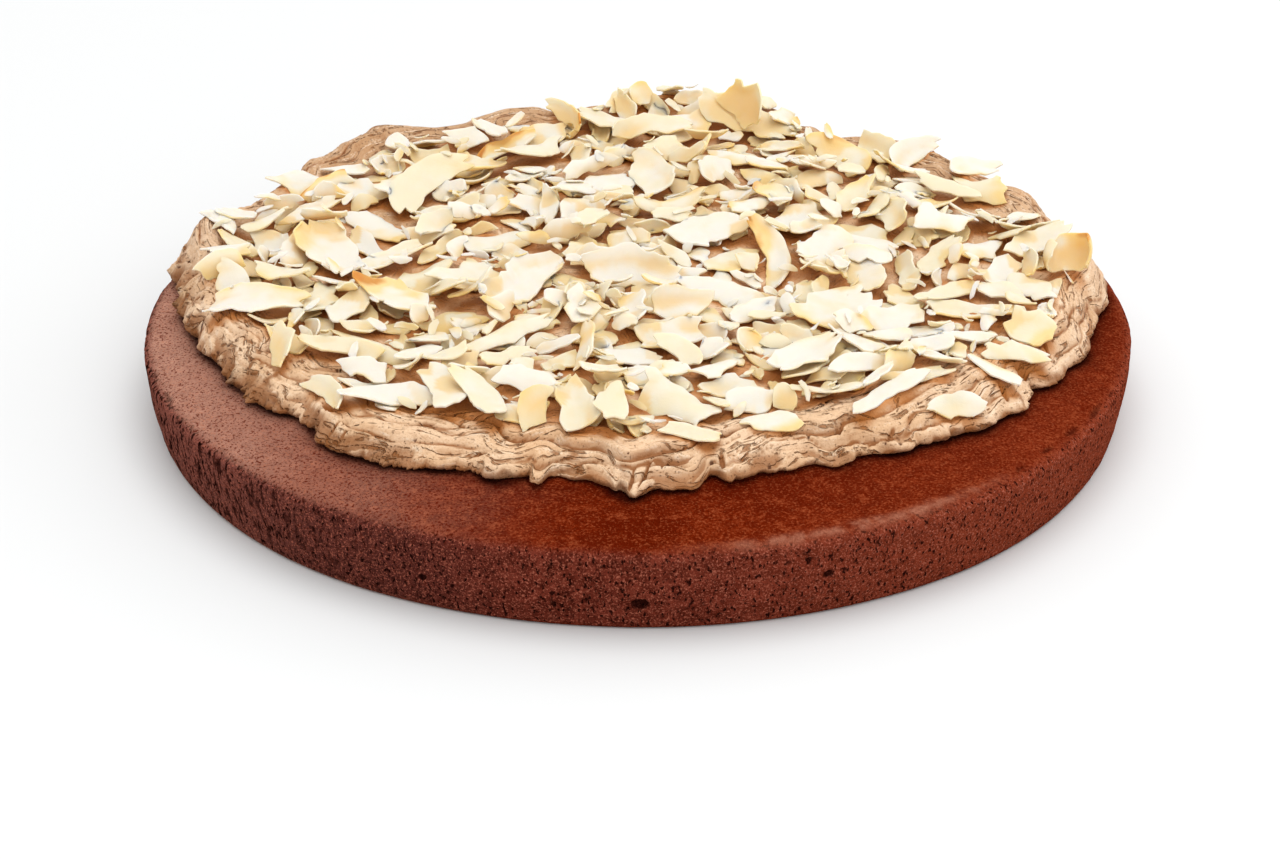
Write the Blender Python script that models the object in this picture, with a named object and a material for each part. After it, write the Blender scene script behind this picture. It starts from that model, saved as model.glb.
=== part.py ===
"""A round chocolate sponge cake with a thick, rough-edged coat of chocolate buttercream on
top and toasted coconut chips scattered over it.

Lengths are in millimetres and angles in degrees until add_object() writes them in metres.
+Z is up, the cake stands on Z = 0 with its middle at the origin, and -Y is its front.
A turn is an angle about Z, from +X towards +Y."""

import math

import bmesh
import bpy
import numpy as np

MM = 0.001

# Sponge: a shallow round, widest just under its shoulder, with a low dome on top
SPONGE_RADIUS = 130.0
SPONGE_FOOT_RADIUS = 127.5
SPONGE_FOOT_ROUND = 1.5
SPONGE_WIDEST_HEIGHT = 19.0
SPONGE_SIDE_BULGE = 0.5
SPONGE_CREASE_RADIUS = 125.5
SPONGE_CREASE_HEIGHT = 21.8
SPONGE_TOP_HEIGHT = 25.5
SPONGE_DOME_POWER = 2.4
SPONGE_WAVES = ((2, 0.35, 40), (3, 0.30, 200), (5, 0.20, 75), (9, 0.12, 310))  # number, depth, turn
SPONGE_SEGMENTS = 84
SPONGE_SIDE_STEPS = 3
SPONGE_SHOULDER_STEPS = 3
SPONGE_TOP_RINGS = (105.0, 70.0, 35.0)

# Frosting outline, seen from above: wider than deep, set back from the front of the sponge
EDGE_RADIUS = 114.5
EDGE_SET_BACK = 6.0
EDGE_OVAL = 6.5
EDGE_LOBES = (  # turn, half width, reach: where the spread edge bulges out or draws in
    (2, 6, 4),
    (20, 6, 1),
    (33, 5, -3),
    (54, 12, -6),
    (60, 6, -4),
    (70, 4, 3),
    (85, 8, 8),
    (101, 6, -3),
    (111, 3, 3),
    (121, 6, -4),
    (131, 8, 8),
    (154, 7, -3),
    (169, 6, 6),
    (203, 12, -5),
    (204, 5, 3),
    (213, 3, -2),
    (220, 3, -4),
    (232, 5, 3),
    (257, 3, -4),
    (269, 3, 5),
    (275, 3, 2),
    (280, 2, -4),
    (294, 8, -4),
    (309, 8, -2),
    (323, 5, -1),
    (336, 5, -3),
    (343, 5, 1),
)
EDGE_RUFFLES = ((17, 0.7, 20), (26, 0.7, 95), (38, 0.6, 160), (47, 0.5, 310))  # number, reach, turn

# Frosting section: a rounded lip, a ridge behind it, and a plateau that rises to the back
FROSTING_GAP = 0.3
LEVEL = 33.0
LEVEL_RISE = 0.022
RIDGE_INWARD = 10.0
RIDGE_WIDTH = 6.5
RIDGE_FRONT = 0.4
RIDGE_BACK = 2.4
LIP_WIDTH_FRONT = 13.5
LIP_WIDTH_BACK = 5.5
LIP_POWER = 1.9
LIP_TUCK = 2.2
LIP_MIDDLE = 0.36
SWELL_DEPTH = 0.9
SWELL_PITCH = 38.0
SWELL_START = 30.0
LIP_SEGMENTS = 128
TOP_SEGMENTS = 64
LIP_STEPS = 4
LIP_REACH = 14.0
TUCK_STEPS = 2
TOP_SHARES = (0.79, 0.69, 0.58, 0.46, 0.32, 0.17)  # rings inside the ridge, as shares of the edge
BASE_SHARES = (0.40, 0.80)

# Coconut chips: thin curved shavings
CHIP_THICKNESS = 1.3
FLATTEST_CREASE = 1.0
CHIP_SINK = 1.48
BROAD_CHIP = 12.0
LONG_CHIP = 21.0
END_POWER = 3.0
END_SHARE = (0.15, 0.5)
END_BREADTH = 0.6
BLUNTEST_END = 0.9
CHIP_CUP = (-0.06, 0.12)
CHIP_TWIST = 0.25
CHIP_SKEW = 0.7
STEEPEST_REST = 34.0
HEIGHT_STEP = 1.0
FORM_SEED = 11
PLACED_CHIPS = (  # x, y, turn, length, width, arc, curl, lean: the lowest in the pile first
    (-94, 49, 15, 14, 12, 10, 15, 0),
    (-82, 57, 18, 11, 8, 10, 20, 0),
    (-59, 69, 20, 12, 11, 10, 20, 0),
    (-28, 85, 23, 14, 10, 10, 10, 0),
    (-9, 91, -28, 19, 8, 10, 20, 5),
    (18, 101, 35, 15, 8, 10, 20, 10),
    (14, 89, 40, 18, 11, 10, 20, 0),
    (68, 75, -50, 13, 10, 10, 20, 10),
    (96, 47, -23, 13, 12, 10, 20, 0),
    (-76, 46, 45, 13, 10, 20, 20, 0),
    (-67, 48, 65, 17, 9, 10, 20, 0),
    (-44, 62, 39, 12, 7, 20, 20, 10),
    (-31, 71, 42, 22, 9, 20, 30, 5),
    (-9, 51, 45, 17, 10, 20, 20, 0),
    (28, 67, -10, 15, 7, 10, 20, 0),
    (50, 52, 40, 15, 6, 80, 30, 15),
    (60, 43, 60, 18, 8, 10, 30, 10),
    (81, 39, 45, 12, 8, 10, 30, 0),
    (82, 21, 2, 15, 12, 10, 20, 0),
    (59, 21, -7, 18, 11, 30, 30, 5),
    (42, 26, 40, 19, 12, 20, 30, 0),
    (19, 18, 34, 21, 11, 20, 30, 0),
    (-38, 16, 20, 19, 10, 30, 20, 0),
    (-30, 36, -20, 11, 9, 10, 20, 0),
    (-49, 33, 34, 14, 13, 20, 40, 5),
    (-69, 25, -42, 21, 10, 20, 30, 0),
    (-73, 14, -60, 18, 8, 20, 30, 0),
    (-98, 12, 5, 9, 11, 10, 0, 0),
    (-104, -3, 34, 9, 9, 10, 10, 0),
    (-93, -10, -10, 15, 8, 10, 40, 0),
    (-56, -7, 26, 14, 13, 20, 30, 0),
    (-45, -9, 30, 17, 12, 20, 20, 0),
    (25, 4, 60, 18, 9, 20, 20, 0),
    (91, 9, 15, 11, 10, 10, 20, 0),
    (95, -6, 50, 14, 8, 20, 20, 0),
    (102, -16, -59, 14, 9, 10, 20, 0),
    (68, -19, -60, 14, 8, 20, 20, 0),
    (87, -28, 0, 24, 10, 20, 20, 0),
    (51, -27, 46, 22, 15, 20, 20, 0),
    (22, -16, -27, 24, 9, 30, 20, 0),
    (-82, -23, 80, 17, 9, 10, 20, 0),
    (-74, -30, 50, 14, 9, 20, 20, 0),
    (-48, -31, 26, 15, 8, 20, 20, 5),
    (-27, -69, -20, 16, 7, 20, 20, 0),
    (-19, -53, 50, 12, 8, 20, 20, 0),
    (-2, -52, 9, 14, 8, 20, 20, 0),
    (8, -41, 20, 17, 10, 20, 20, 0),
    (22, -67, 28, 12, 9, 20, 20, 0),
    (27, -74, 0, 12, 8, 20, 20, 0),
    (41, -60, 35, 14, 9, 20, 20, 0),
    (65, -32, 22, 16, 10, 20, 30, 0),
    (73, -48, -21, 12, 8, 20, 20, 0),
    (68, -64, 14, 17, 8, 20, 20, 0),
    (-90, 30, 48, 20, 6, 20, 20, 5),
    (-87, 45, 50, 17, 5, 40, 20, 25),
    (-38, 78, 35, 20, 6, 20, 20, 15),
    (48, 76, -75, 16, 6, 10, 30, 20),
    (39, 50, -50, 27, 5, 30, 30, 10),
    (18, 69, -100, 17, 5, 10, 10, 25),
    (86, 47, -35, 20, 6, 10, 20, 5),
    (30, 33, 46, 16, 6, 20, 20, 0),
    (-25, 33, -85, 20, 5, 10, 20, 30),
    (-53, 11, 60, 20, 5, 10, 20, 15),
    (-65, 4, 36, 20, 7, 30, 20, 5),
    (-91, 7, 75, 22, 7, 10, 20, 15),
    (-107, 9, -45, 16, 5, 10, 20, 10),
    (70, 27, -75, 19, 8, 10, 20, 5),
    (80, 5, 60, 22, 7, 50, 30, 5),
    (71, -4, -90, 22, 6, 10, 10, 10),
    (80, -19, 33, 19, 8, 20, 20, 5),
    (-66, -49, -43, 27, 5, 20, 20, 5),
    (-33, -42, 40, 25, 6, 20, 20, 10),
    (-33, -53, 42, 16, 6, 20, 20, 5),
    (-89, -41, -60, 17, 7, 20, 20, 5),
    (60, -74, 43, 24, 6, 20, 20, 5),
    (32, -85, 11, 12, 6, 20, 10, 0),
    (88, -57, -24, 14, 6, 10, 20, 0),
    (99, -37, -22, 12, 11, 10, 20, 0),
    (29, -27, 35, 14, 6, 20, 20, 0),
    (19, -61, 50, 13, 7, 20, 30, 5),
    (62, 12, -24, 14, 8, 20, 20, 0),
    (-20, 90, -60, 20, 6, 20, 40, 40),
    (3, 85, 20, 24, 7, 60, 40, 15),
    (31, 92, -25, 28, 10, 20, 25, 28),
    (30, 89, -60, 17, 9, 20, 30, 50),
    (-17, 67, -90, 18, 7, 20, 50, 30),
    (4, 56, -60, 19, 11, 30, 40, 10),
    (8, 34, 20, 22, 8, 40, 90, 15),
    (58, 68, -40, 21, 10, 110, 70, 20),
    (78, 72, 40, 18, 8, 90, 70, 25),
    (96, 64, 30, 17, 8, 20, 20, 25),
    (106, 9, 40, 19, 9, 20, 30, 15),
    (110, -3, 15, 16, 9, 10, 240, 0),
    (-59, 48, 60, 34, 10, 85, 30, 10),
    (-16, 33, 60, 21, 8, 30, 50, 15),
    (-83, 5, -65, 26, 13, 20, 45, 8),
    (-31, -12, 58, 32, 13, 20, 30, 12),
    (-2, -5, 0, 25, 13, 10, 35, 30),
    (35, 5, -80, 33, 7, 60, 40, 20),
    (49, 8, 60, 21, 10, 20, 30, 20),
    (60, -6, -80, 20, 10, 20, 30, 15),
    (-62, -24, -60, 20, 13, 25, 35, 12),
    (-99, -25, -8, 24, 11, 15, -20, 8),
    (-89, -49, -80, 16, 8, 10, 20, 45),
    (-75, -49, -20, 23, 6, 30, 20, 10),
    (-76, -68, -60, 19, 6, 60, 30, 20),
    (-60, -72, 3, 24, 7, 30, 25, 10),
    (-48, -72, -70, 20, 9, 60, 40, 15),
    (-39, -76, -60, 21, 9, 70, 40, 10),
    (-13, -51, -95, 24, 7, 10, 30, 30),
    (-1, -30, -90, 16, 7, 10, 20, 35),
    (10, -26, 5, 14, 9, 30, 30, 25),
    (10, -52, -50, 16, 6, 90, 30, 20),
    (41, -55, 45, 23, 12, 20, 30, 12),
    (54, -60, 22, 17, 6, 70, 20, 5),
    (-15, -80, -70, 18, 10, 20, 20, 12),
    (-6, -84, -85, 15, 8, 10, 30, 30),
    (9, -77, -40, 20, 11, 20, 35, 10),
    (12, -90, -20, 14, 6, 20, 20, 5),
    (77, -72, 20, 15, 7, 20, 20, 3),
    (94, -48, 10, 18, 6, 20, 20, 5),
)


def clear_scene():
    for item in list(bpy.data.objects):
        bpy.data.objects.remove(item, do_unlink=True)


def make_material(name, colour, roughness):
    material = bpy.data.materials.new(name)
    material.use_nodes = True
    shader = material.node_tree.nodes["Principled BSDF"]
    shader.inputs["Base Color"].default_value = (*colour, 1.0)
    shader.inputs["Roughness"].default_value = roughness
    shader.inputs["Metallic"].default_value = 0.0
    return material


def add_object(name, points, faces, material, collection=None):
    mesh = bpy.data.meshes.new(name)
    mesh.from_pydata((points * MM).tolist(), [], faces)
    mesh.materials.append(material)
    mesh.shade_smooth()
    mesh.set_sharp_from_angle(angle=math.radians(50))
    item = bpy.data.objects.new(name, mesh)
    (collection or bpy.context.scene.collection).objects.link(item)
    return item


def quarter(steps):
    """Even steps of a quarter circle, leaving out its start: sine and one minus cosine."""
    angles = np.linspace(0, math.pi / 2, steps + 1)[1:]
    return np.sin(angles), 1 - np.cos(angles)


def bridge(low, low_count, high, high_count):
    """Triangles between a ring and the next, which has as many points, half as many or twice as
    many. low and high are the numbers of their first points."""
    most = max(low_count, high_count)
    faces = []
    for i in range(most):
        a, b = low + i * low_count // most, low + (i + 1) * low_count // most % low_count
        c, d = high + i * high_count // most, high + (i + 1) * high_count // most % high_count
        faces += [(a, b, d)] if a != b else []
        faces += [(a, d, c)] if c != d else []
    return faces


def closed_turning(rings, bottom, top):
    """Points and faces of rings that run from below to above, closed by a point at each end."""
    rings = [np.array([bottom]), *rings, np.array([top])]
    starts = np.cumsum([0] + [len(ring) for ring in rings])
    faces = []
    for i in range(len(rings) - 1):
        faces += bridge(starts[i], len(rings[i]), starts[i + 1], len(rings[i + 1]))
    return np.concatenate(rings), [tuple(int(number) for number in face) for face in faces]


# Sponge


def sponge_wave(turn):
    """How far the sponge's side wanders from a true circle."""
    waves = (depth * np.cos(count * turn - math.radians(at)) for count, depth, at in SPONGE_WAVES)
    return sum(waves)


def sponge_top(radius):
    """Height of the sponge's domed top."""
    share = np.minimum(radius / SPONGE_CREASE_RADIUS, 1)
    return SPONGE_TOP_HEIGHT - (SPONGE_TOP_HEIGHT - SPONGE_CREASE_HEIGHT) * share**SPONGE_DOME_POWER


def sponge_profile():
    """Radius and height up the side and over the shoulder, then in across the top."""
    out, up = quarter(2)
    foot = SPONGE_FOOT_RADIUS - SPONGE_FOOT_ROUND
    profile = [(foot, 0.0)]
    profile += list(zip(foot + SPONGE_FOOT_ROUND * out, SPONGE_FOOT_ROUND * up))
    for share in np.linspace(0, 1, SPONGE_SIDE_STEPS + 1)[1:]:
        height = SPONGE_FOOT_ROUND + (SPONGE_WIDEST_HEIGHT - SPONGE_FOOT_ROUND) * share
        flare = (SPONGE_RADIUS - SPONGE_FOOT_RADIUS) * share
        profile.append((SPONGE_FOOT_RADIUS + flare + SPONGE_SIDE_BULGE * math.sin(math.pi * share), height))
    rise, inward = quarter(SPONGE_SHOULDER_STEPS)
    shoulder_width = SPONGE_RADIUS - SPONGE_CREASE_RADIUS
    shoulder_height = SPONGE_CREASE_HEIGHT - SPONGE_WIDEST_HEIGHT
    profile += list(zip(SPONGE_RADIUS - shoulder_width * inward, SPONGE_WIDEST_HEIGHT + shoulder_height * rise))
    profile += [(radius, float(sponge_top(radius))) for radius in SPONGE_TOP_RINGS]
    return np.array(profile)


def make_sponge(material):
    turn = np.linspace(0, 2 * math.pi, SPONGE_SEGMENTS, endpoint=False)
    profile = sponge_profile()
    radius = profile[:, :1] + sponge_wave(turn) * np.minimum(profile[:, :1] / SPONGE_RADIUS, 1) ** 4
    height = np.repeat(profile[:, 1:], SPONGE_SEGMENTS, axis=1)
    rings = np.stack([radius * np.cos(turn), radius * np.sin(turn), height], axis=-1)
    points, faces = closed_turning(rings, (0, 0, 0), (0, 0, SPONGE_TOP_HEIGHT))
    return add_object("sponge", points, faces, material)


# Frosting


def edge_radius(turn):
    """Outline of the frosting: a shifted oval with its lobes added."""
    reach = EDGE_RADIUS + EDGE_SET_BACK * np.sin(turn) + EDGE_OVAL * np.cos(2 * turn)
    for at, width, out in EDGE_LOBES:
        away = (turn - math.radians(at) + math.pi) % (2 * math.pi) - math.pi
        reach = reach + out * np.exp(-((away / math.radians(width)) ** 2))
    for count, out, at in EDGE_RUFFLES:
        reach = reach + out * np.cos(count * turn - math.radians(at))
    return reach


def back_share(turn):
    """How far towards the back a turn points: 0 at the front, 1 at the back."""
    return 0.5 + 0.5 * np.sin(turn)


def frosting_level(x, y):
    """Height of the spread top without its lip: the rising plateau, the swell that a spreading
    knife leaves in a slow spiral, and the ridge along the edge."""
    radius, turn = np.hypot(x, y), np.arctan2(y, x)
    inward = edge_radius(turn) - radius
    spiral = np.sin(2 * math.pi * radius / SWELL_PITCH + 2 * turn)
    swell = SWELL_DEPTH * spiral * (1 - np.exp(-((radius / SWELL_START) ** 2)))
    ridge = RIDGE_FRONT + (RIDGE_BACK - RIDGE_FRONT) * back_share(turn)
    return LEVEL + LEVEL_RISE * y + swell + ridge * np.exp(-(((inward - RIDGE_INWARD) / RIDGE_WIDTH) ** 2))


def frosting_base(x, y):
    """Height of the underside, just clear of the sponge."""
    return sponge_top(np.hypot(x, y)) + FROSTING_GAP


def lip_middle(x, y):
    """Height at which the lip reaches furthest out."""
    base = frosting_base(x, y)
    return base + LIP_MIDDLE * (frosting_level(x, y) - base)


def frosting_top(x, y):
    """Height of the top over its whole spread, down to the middle of the lip at the edge."""
    turn = np.arctan2(y, x)
    inward = edge_radius(turn) - np.hypot(x, y)
    lip_width = LIP_WIDTH_FRONT + (LIP_WIDTH_BACK - LIP_WIDTH_FRONT) * back_share(turn)
    share = 1 - (1 - np.clip(inward / lip_width, 0, 1)) ** LIP_POWER
    middle = lip_middle(x, y)
    return middle + (frosting_level(x, y) - middle) * share


def ring_at(share, inward, count, height):
    """A ring at a share of the edge's radius, less a step inward, with its height by a rule."""
    turn = np.linspace(0, 2 * math.pi, count, endpoint=False)
    radius = share * edge_radius(turn) - inward
    x, y = radius * np.cos(turn), radius * np.sin(turn)
    return np.stack([x, y, height(x, y)], axis=-1)


def frosting_rings():
    """Rings from the underside's middle out to the lip, round it, and in over the top."""
    rings = [ring_at(share, 0, TOP_SEGMENTS, frosting_base) for share in BASE_SHARES]
    rings.append(ring_at(1, LIP_TUCK, LIP_SEGMENTS, frosting_base))
    for out, up in zip(*quarter(TUCK_STEPS)):
        def tuck_height(x, y, up=up):
            return frosting_base(x, y) + (lip_middle(x, y) - frosting_base(x, y)) * up

        rings.append(ring_at(1, LIP_TUCK * (1 - out), LIP_SEGMENTS, tuck_height))
    for step in range(1, LIP_STEPS + 1):
        rings.append(ring_at(1, LIP_REACH * (step / LIP_STEPS) ** 1.4, LIP_SEGMENTS, frosting_top))
    rings += [ring_at(share, 0, TOP_SEGMENTS, frosting_top) for share in TOP_SHARES]
    return rings


def make_frosting(material):
    under, over = float(frosting_base(0.0, 0.0)), float(frosting_top(0.0, 0.0))
    points, faces = closed_turning(frosting_rings(), (0, 0, under), (0, 0, over))
    return add_object("frosting", points, faces, material)


# Coconut chips


def describe_chips():
    """Every chip as a dictionary. A broad chip has blunt ends; all are a little cupped, twisted
    and cut askew."""
    draw = np.random.default_rng(FORM_SEED)
    names = ("x", "y", "turn", "length", "width", "arc", "curl", "lean")
    chips = [dict(zip(names, row)) for row in PLACED_CHIPS]
    for chip in chips:
        chip["cup"] = draw.uniform(*CHIP_CUP)
        chip["twist"] = draw.uniform(-CHIP_TWIST, CHIP_TWIST)
        blunt = draw.uniform(*END_SHARE) + END_BREADTH * chip["width"] / chip["length"]
        chip["ends"] = min(BLUNTEST_END, blunt)
        chip["skew"] = draw.uniform(-CHIP_SKEW, CHIP_SKEW)
    return chips


def chip_surface(chip, along_steps, across_steps):
    """Middle surface of a chip lying flat: a strip round an arc, narrowed to its ends and cut
    askew there, cupped across, twisted, and curled along its length."""
    along = np.linspace(-0.5, 0.5, along_steps + 1)[:, None]
    across = np.linspace(-1, 1, across_steps + 1)[None, :]
    full = 1 - np.abs(2 * along) ** END_POWER
    half = 0.5 * chip["width"] * (chip["ends"] + (1 - chip["ends"]) * full)
    arc = math.radians(max(chip["arc"], 1))
    radius = chip["length"] / arc
    angle = along * arc + chip["skew"] * across * half / radius * np.abs(2 * along)
    x = (radius + across * half) * np.sin(angle)
    y = (radius + across * half) * np.cos(angle) - radius * (0.5 + 0.5 * math.cos(arc / 2))
    z = chip["cup"] * chip["width"] * across**2 + chip["twist"] * x * across * half / chip["width"]
    curl = math.radians(chip["curl"] or 1) / chip["length"]
    z_across = z * np.cos(curl * x)
    z_curled = (1 - np.cos(curl * x)) / curl + z_across
    x_curled = np.sin(curl * x) / curl - z * np.sin(curl * x)
    return np.stack([x_curled, y + 0 * x, z_curled], axis=-1)


def turned(points, axis, angle):
    """Points turned about an axis through the origin, by the right-hand rule."""
    along = np.outer(points.reshape(-1, 3) @ axis, axis).reshape(points.shape)
    across = np.cross(axis, points)
    return along + (points - along) * math.cos(angle) + across * math.sin(angle)


def rest_slope(points, ground):
    """Unit normal of the plane that the highest ground under a chip gives it to lie on."""
    x, y = points[:, 0], points[:, 1]
    weight = np.sqrt(np.exp((ground - ground.max()) / 1.5))
    sides = np.stack([np.ones_like(x), x, y], axis=1) * weight[:, None]
    _, slope_x, slope_y = np.linalg.lstsq(sides, ground * weight, rcond=None)[0]
    steep = math.hypot(slope_x, slope_y)
    kept = min(1, math.tan(math.radians(STEEPEST_REST)) / max(steep, 1e-6))
    normal = np.array([-slope_x * kept, -slope_y * kept, 1.0])
    return normal / np.linalg.norm(normal)


def settle_chips(chips):
    """Gives each chip the pose in which it lies on the frosting and on the chips before it:
    turned, laid on the slope under it, leaned, then lowered until it sinks in a little."""
    size = int(2 * SPONGE_RADIUS / HEIGHT_STEP) + 1
    line = (np.arange(size) - size // 2) * HEIGHT_STEP
    heights = frosting_top(line[:, None], line[None, :])

    def cells(points):
        return tuple(np.clip(np.rint(points[:, :2] / HEIGHT_STEP).astype(int) + size // 2, 0, size - 1).T)

    for chip in chips:
        place = np.array([chip["x"], chip["y"], 0.0])
        turn, lean = math.radians(chip["turn"]), math.radians(chip["lean"])
        ahead = np.array([math.cos(turn), math.sin(turn), 0.0])
        upright = np.array([0.0, 0.0, 1.0])
        flat = turned(chip_surface(chip, 24, 12).reshape(-1, 3), upright, turn)
        normal = rest_slope(flat, heights[cells(flat + place)])
        axis = np.cross(upright, normal)
        tilt = math.asin(min(1, np.linalg.norm(axis)))
        axis = axis / max(np.linalg.norm(axis), 1e-9)
        laid = turned(turned(flat, ahead, lean), axis, tilt)
        under = cells(laid + place)
        place[2] = (heights[under] - laid[:, 2]).max() + CHIP_THICKNESS / 2 - CHIP_SINK
        chip.update(place=place, ahead=ahead, lean_angle=lean, axis=axis, tilt=tilt, turn_angle=turn)
        np.maximum.at(heights, under, laid[:, 2] + place[2] + CHIP_THICKNESS / 2)
    return chips


def chip_solid(chip, along_steps, across_steps):
    """Points and triangles of a settled chip, its two faces split alike."""
    middle = chip_surface(chip, along_steps, across_steps)
    normal = np.cross(np.gradient(middle, axis=0), np.gradient(middle, axis=1))
    normal = normal / np.linalg.norm(normal, axis=-1, keepdims=True)
    sides = np.concatenate([middle + normal * CHIP_THICKNESS / 2, middle - normal * CHIP_THICKNESS / 2])
    points = turned(sides.reshape(-1, 3), np.array([0.0, 0.0, 1.0]), chip["turn_angle"])
    points = turned(turned(points, chip["ahead"], chip["lean_angle"]), chip["axis"], chip["tilt"]) + chip["place"]
    rows, columns = along_steps + 1, across_steps + 1
    under = rows * columns
    faces = []
    for i in range(along_steps):
        for j in range(across_steps):
            a, b = i * columns + j, (i + 1) * columns + j
            faces += [(a, b, b + 1), (a, b + 1, a + 1)]
            faces += [(under + a, under + b + 1, under + b), (under + a, under + a + 1, under + b + 1)]
    rim = [i * columns for i in range(rows)]
    rim += [(rows - 1) * columns + j for j in range(1, columns)]
    rim += [i * columns + across_steps for i in range(rows - 2, -1, -1)]
    rim += list(range(across_steps - 1, 0, -1))
    for a, b in zip(rim, rim[1:] + rim[:1]):
        faces += [(b, a, under + a), (b, under + a, under + b)]
    return points, faces


def fuse_chips(frosting, chips, material):
    """Joins the chips to the frosting and drops any scrap or sealed hollow."""
    pile = bpy.data.collections.new("chips")
    bpy.context.scene.collection.children.link(pile)
    for index, chip in enumerate(chips):
        along_steps = 4 if chip["length"] >= LONG_CHIP else 3
        across_steps = 2 if chip["width"] >= BROAD_CHIP else 1
        points, faces = chip_solid(chip, along_steps, across_steps)
        add_object(f"chip_{index + 1}", points, faces, material, pile)
    union = frosting.modifiers.new("chips", "BOOLEAN")
    union.operation = "UNION"
    union.operand_type = "COLLECTION"
    union.collection = pile
    union.solver = "MANIFOLD"
    bpy.context.view_layer.objects.active = frosting
    bpy.ops.object.modifier_apply(modifier=union.name)
    for item in list(pile.objects):
        bpy.data.objects.remove(item, do_unlink=True)
    bpy.data.collections.remove(pile)
    tidy_union(frosting.data)


def tidy_union(mesh):
    """Keeps the largest shell and merges the slivers that the union leaves on flat faces."""
    shape = bmesh.new()
    shape.from_mesh(mesh)
    waiting, shells = set(shape.faces), []
    while waiting:
        stack, shell = [waiting.pop()], []
        while stack:
            face = stack.pop()
            shell.append(face)
            for edge in face.edges:
                for other in edge.link_faces:
                    if other in waiting:
                        waiting.remove(other)
                        stack.append(other)
        shells.append(shell)
    shells.sort(key=len)
    for shell in shells[:-1]:
        bmesh.ops.delete(shape, geom=shell, context="FACES")
    flattest = math.radians(FLATTEST_CREASE)
    bmesh.ops.dissolve_limit(shape, angle_limit=flattest, verts=shape.verts, edges=shape.edges)
    bmesh.ops.triangulate(shape, faces=shape.faces)
    shape.to_mesh(mesh)
    shape.free()


def main():
    clear_scene()
    sponge_material = make_material("sponge", (0.110, 0.026, 0.014), 0.85)
    frosting_material = make_material("frosting", (0.520, 0.300, 0.180), 0.60)
    coconut_material = make_material("coconut", (0.860, 0.740, 0.520), 0.55)
    make_sponge(sponge_material)
    frosting = make_frosting(frosting_material)
    fuse_chips(frosting, settle_chips(describe_chips()), coconut_material)


main()
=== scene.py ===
import math

import bpy
import numpy as np
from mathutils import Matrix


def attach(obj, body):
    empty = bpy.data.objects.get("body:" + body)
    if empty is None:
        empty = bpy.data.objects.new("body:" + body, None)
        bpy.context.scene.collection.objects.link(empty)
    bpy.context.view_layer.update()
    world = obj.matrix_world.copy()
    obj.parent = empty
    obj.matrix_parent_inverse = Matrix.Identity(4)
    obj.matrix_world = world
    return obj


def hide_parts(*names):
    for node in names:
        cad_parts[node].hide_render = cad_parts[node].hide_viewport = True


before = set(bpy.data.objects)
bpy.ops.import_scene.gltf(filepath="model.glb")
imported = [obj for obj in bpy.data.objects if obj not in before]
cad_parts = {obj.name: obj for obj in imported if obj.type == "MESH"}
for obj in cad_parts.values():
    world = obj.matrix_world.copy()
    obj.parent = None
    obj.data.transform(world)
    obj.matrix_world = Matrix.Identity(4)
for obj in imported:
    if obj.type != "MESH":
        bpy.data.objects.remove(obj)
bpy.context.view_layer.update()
mm = 0.001  # shapes below are worked out in millimetres, with the front of the cake at -Y
fullTurn = 2 * math.pi


# One number from 0 to 1 for each whole-number lattice point: its coordinates, each times a large
# prime, are mixed bit by bit.
def hashed(ix, iy, iz, seed):
    n = (ix * 73856093) ^ (iy * 19349663) ^ (iz * 83492791) ^ (seed * 374761393)
    n = n & 0xFFFFFFFF
    n = ((n ^ (n >> 13)) * 1274126177) & 0xFFFFFFFF
    n = ((n ^ (n >> 16)) * 668265263) & 0xFFFFFFFF
    return ((n ^ (n >> 15)) & 0xFFFFFF) / 0xFFFFFF


# Smooth noise from -1 to 1: the eight corner numbers of a point's cell, blended by 3t^2 - 2t^3.
def noise(points, seed=0):
    cell = np.floor(points).astype(np.int64)
    t = points - cell
    t = t * t * (3 - 2 * t)
    total = 0
    for corner in range(8):
        step = (corner & 1, corner >> 1 & 1, corner >> 2)
        weight = 1
        for axis in range(3):
            weight = weight * (t[..., axis] if step[axis] else 1 - t[..., axis])
        total = total + weight * hashed(*(cell[..., axis] + step[axis] for axis in range(3)), seed)
    return 2 * total - 1


# Noise on noise: each layer is twice as fine and half as strong as the one before.
def layeredNoise(points, layers=3, seed=0):
    return sum(noise(points * 2**k, seed + k) / 2**k for k in range(layers))


# Round hollows scattered over a flat pattern, 1 at a hollow's middle and 0 outside it. Each cell
# holds one, off its middle by chance; u wraps after wrapCells cells; share is how many are open.
def hollows(u, v, wrapCells, share, seed, smallest=0.25, largest=0.5):
    cellU, cellV = np.floor(u).astype(np.int64), np.floor(v).astype(np.int64)
    deepest = np.zeros(np.broadcast(u, v).shape)
    for stepU in (-1, 0, 1):
        for stepV in (-1, 0, 1):
            iu, iv = cellU + stepU, cellV + stepV
            wrapped = iu % wrapCells
            middleU = iu + 0.2 + 0.6 * hashed(wrapped, iv, 1, seed)
            middleV = iv + 0.2 + 0.6 * hashed(wrapped, iv, 2, seed)
            size = smallest + (largest - smallest) * hashed(wrapped, iv, 3, seed) ** 2
            isOpen = hashed(wrapped, iv, 4, seed) < share
            away = ((u - middleU) ** 2 + (v - middleV) ** 2) / size**2
            deepest = np.maximum(deepest, np.clip(1 - away, 0, 1) * isOpen)
    return deepest


# 0 below low, 1 above high, and 3t^2 - 2t^3 between them.
def smooth(low, high, value):
    t = np.clip((value - low) / (high - low), 0, 1)
    return t * t * (3 - 2 * t)


# 1 where there is no distance, falling to nothing within a few widths.
def bell(away, width):
    return np.exp(-((away / width) ** 2))


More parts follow.
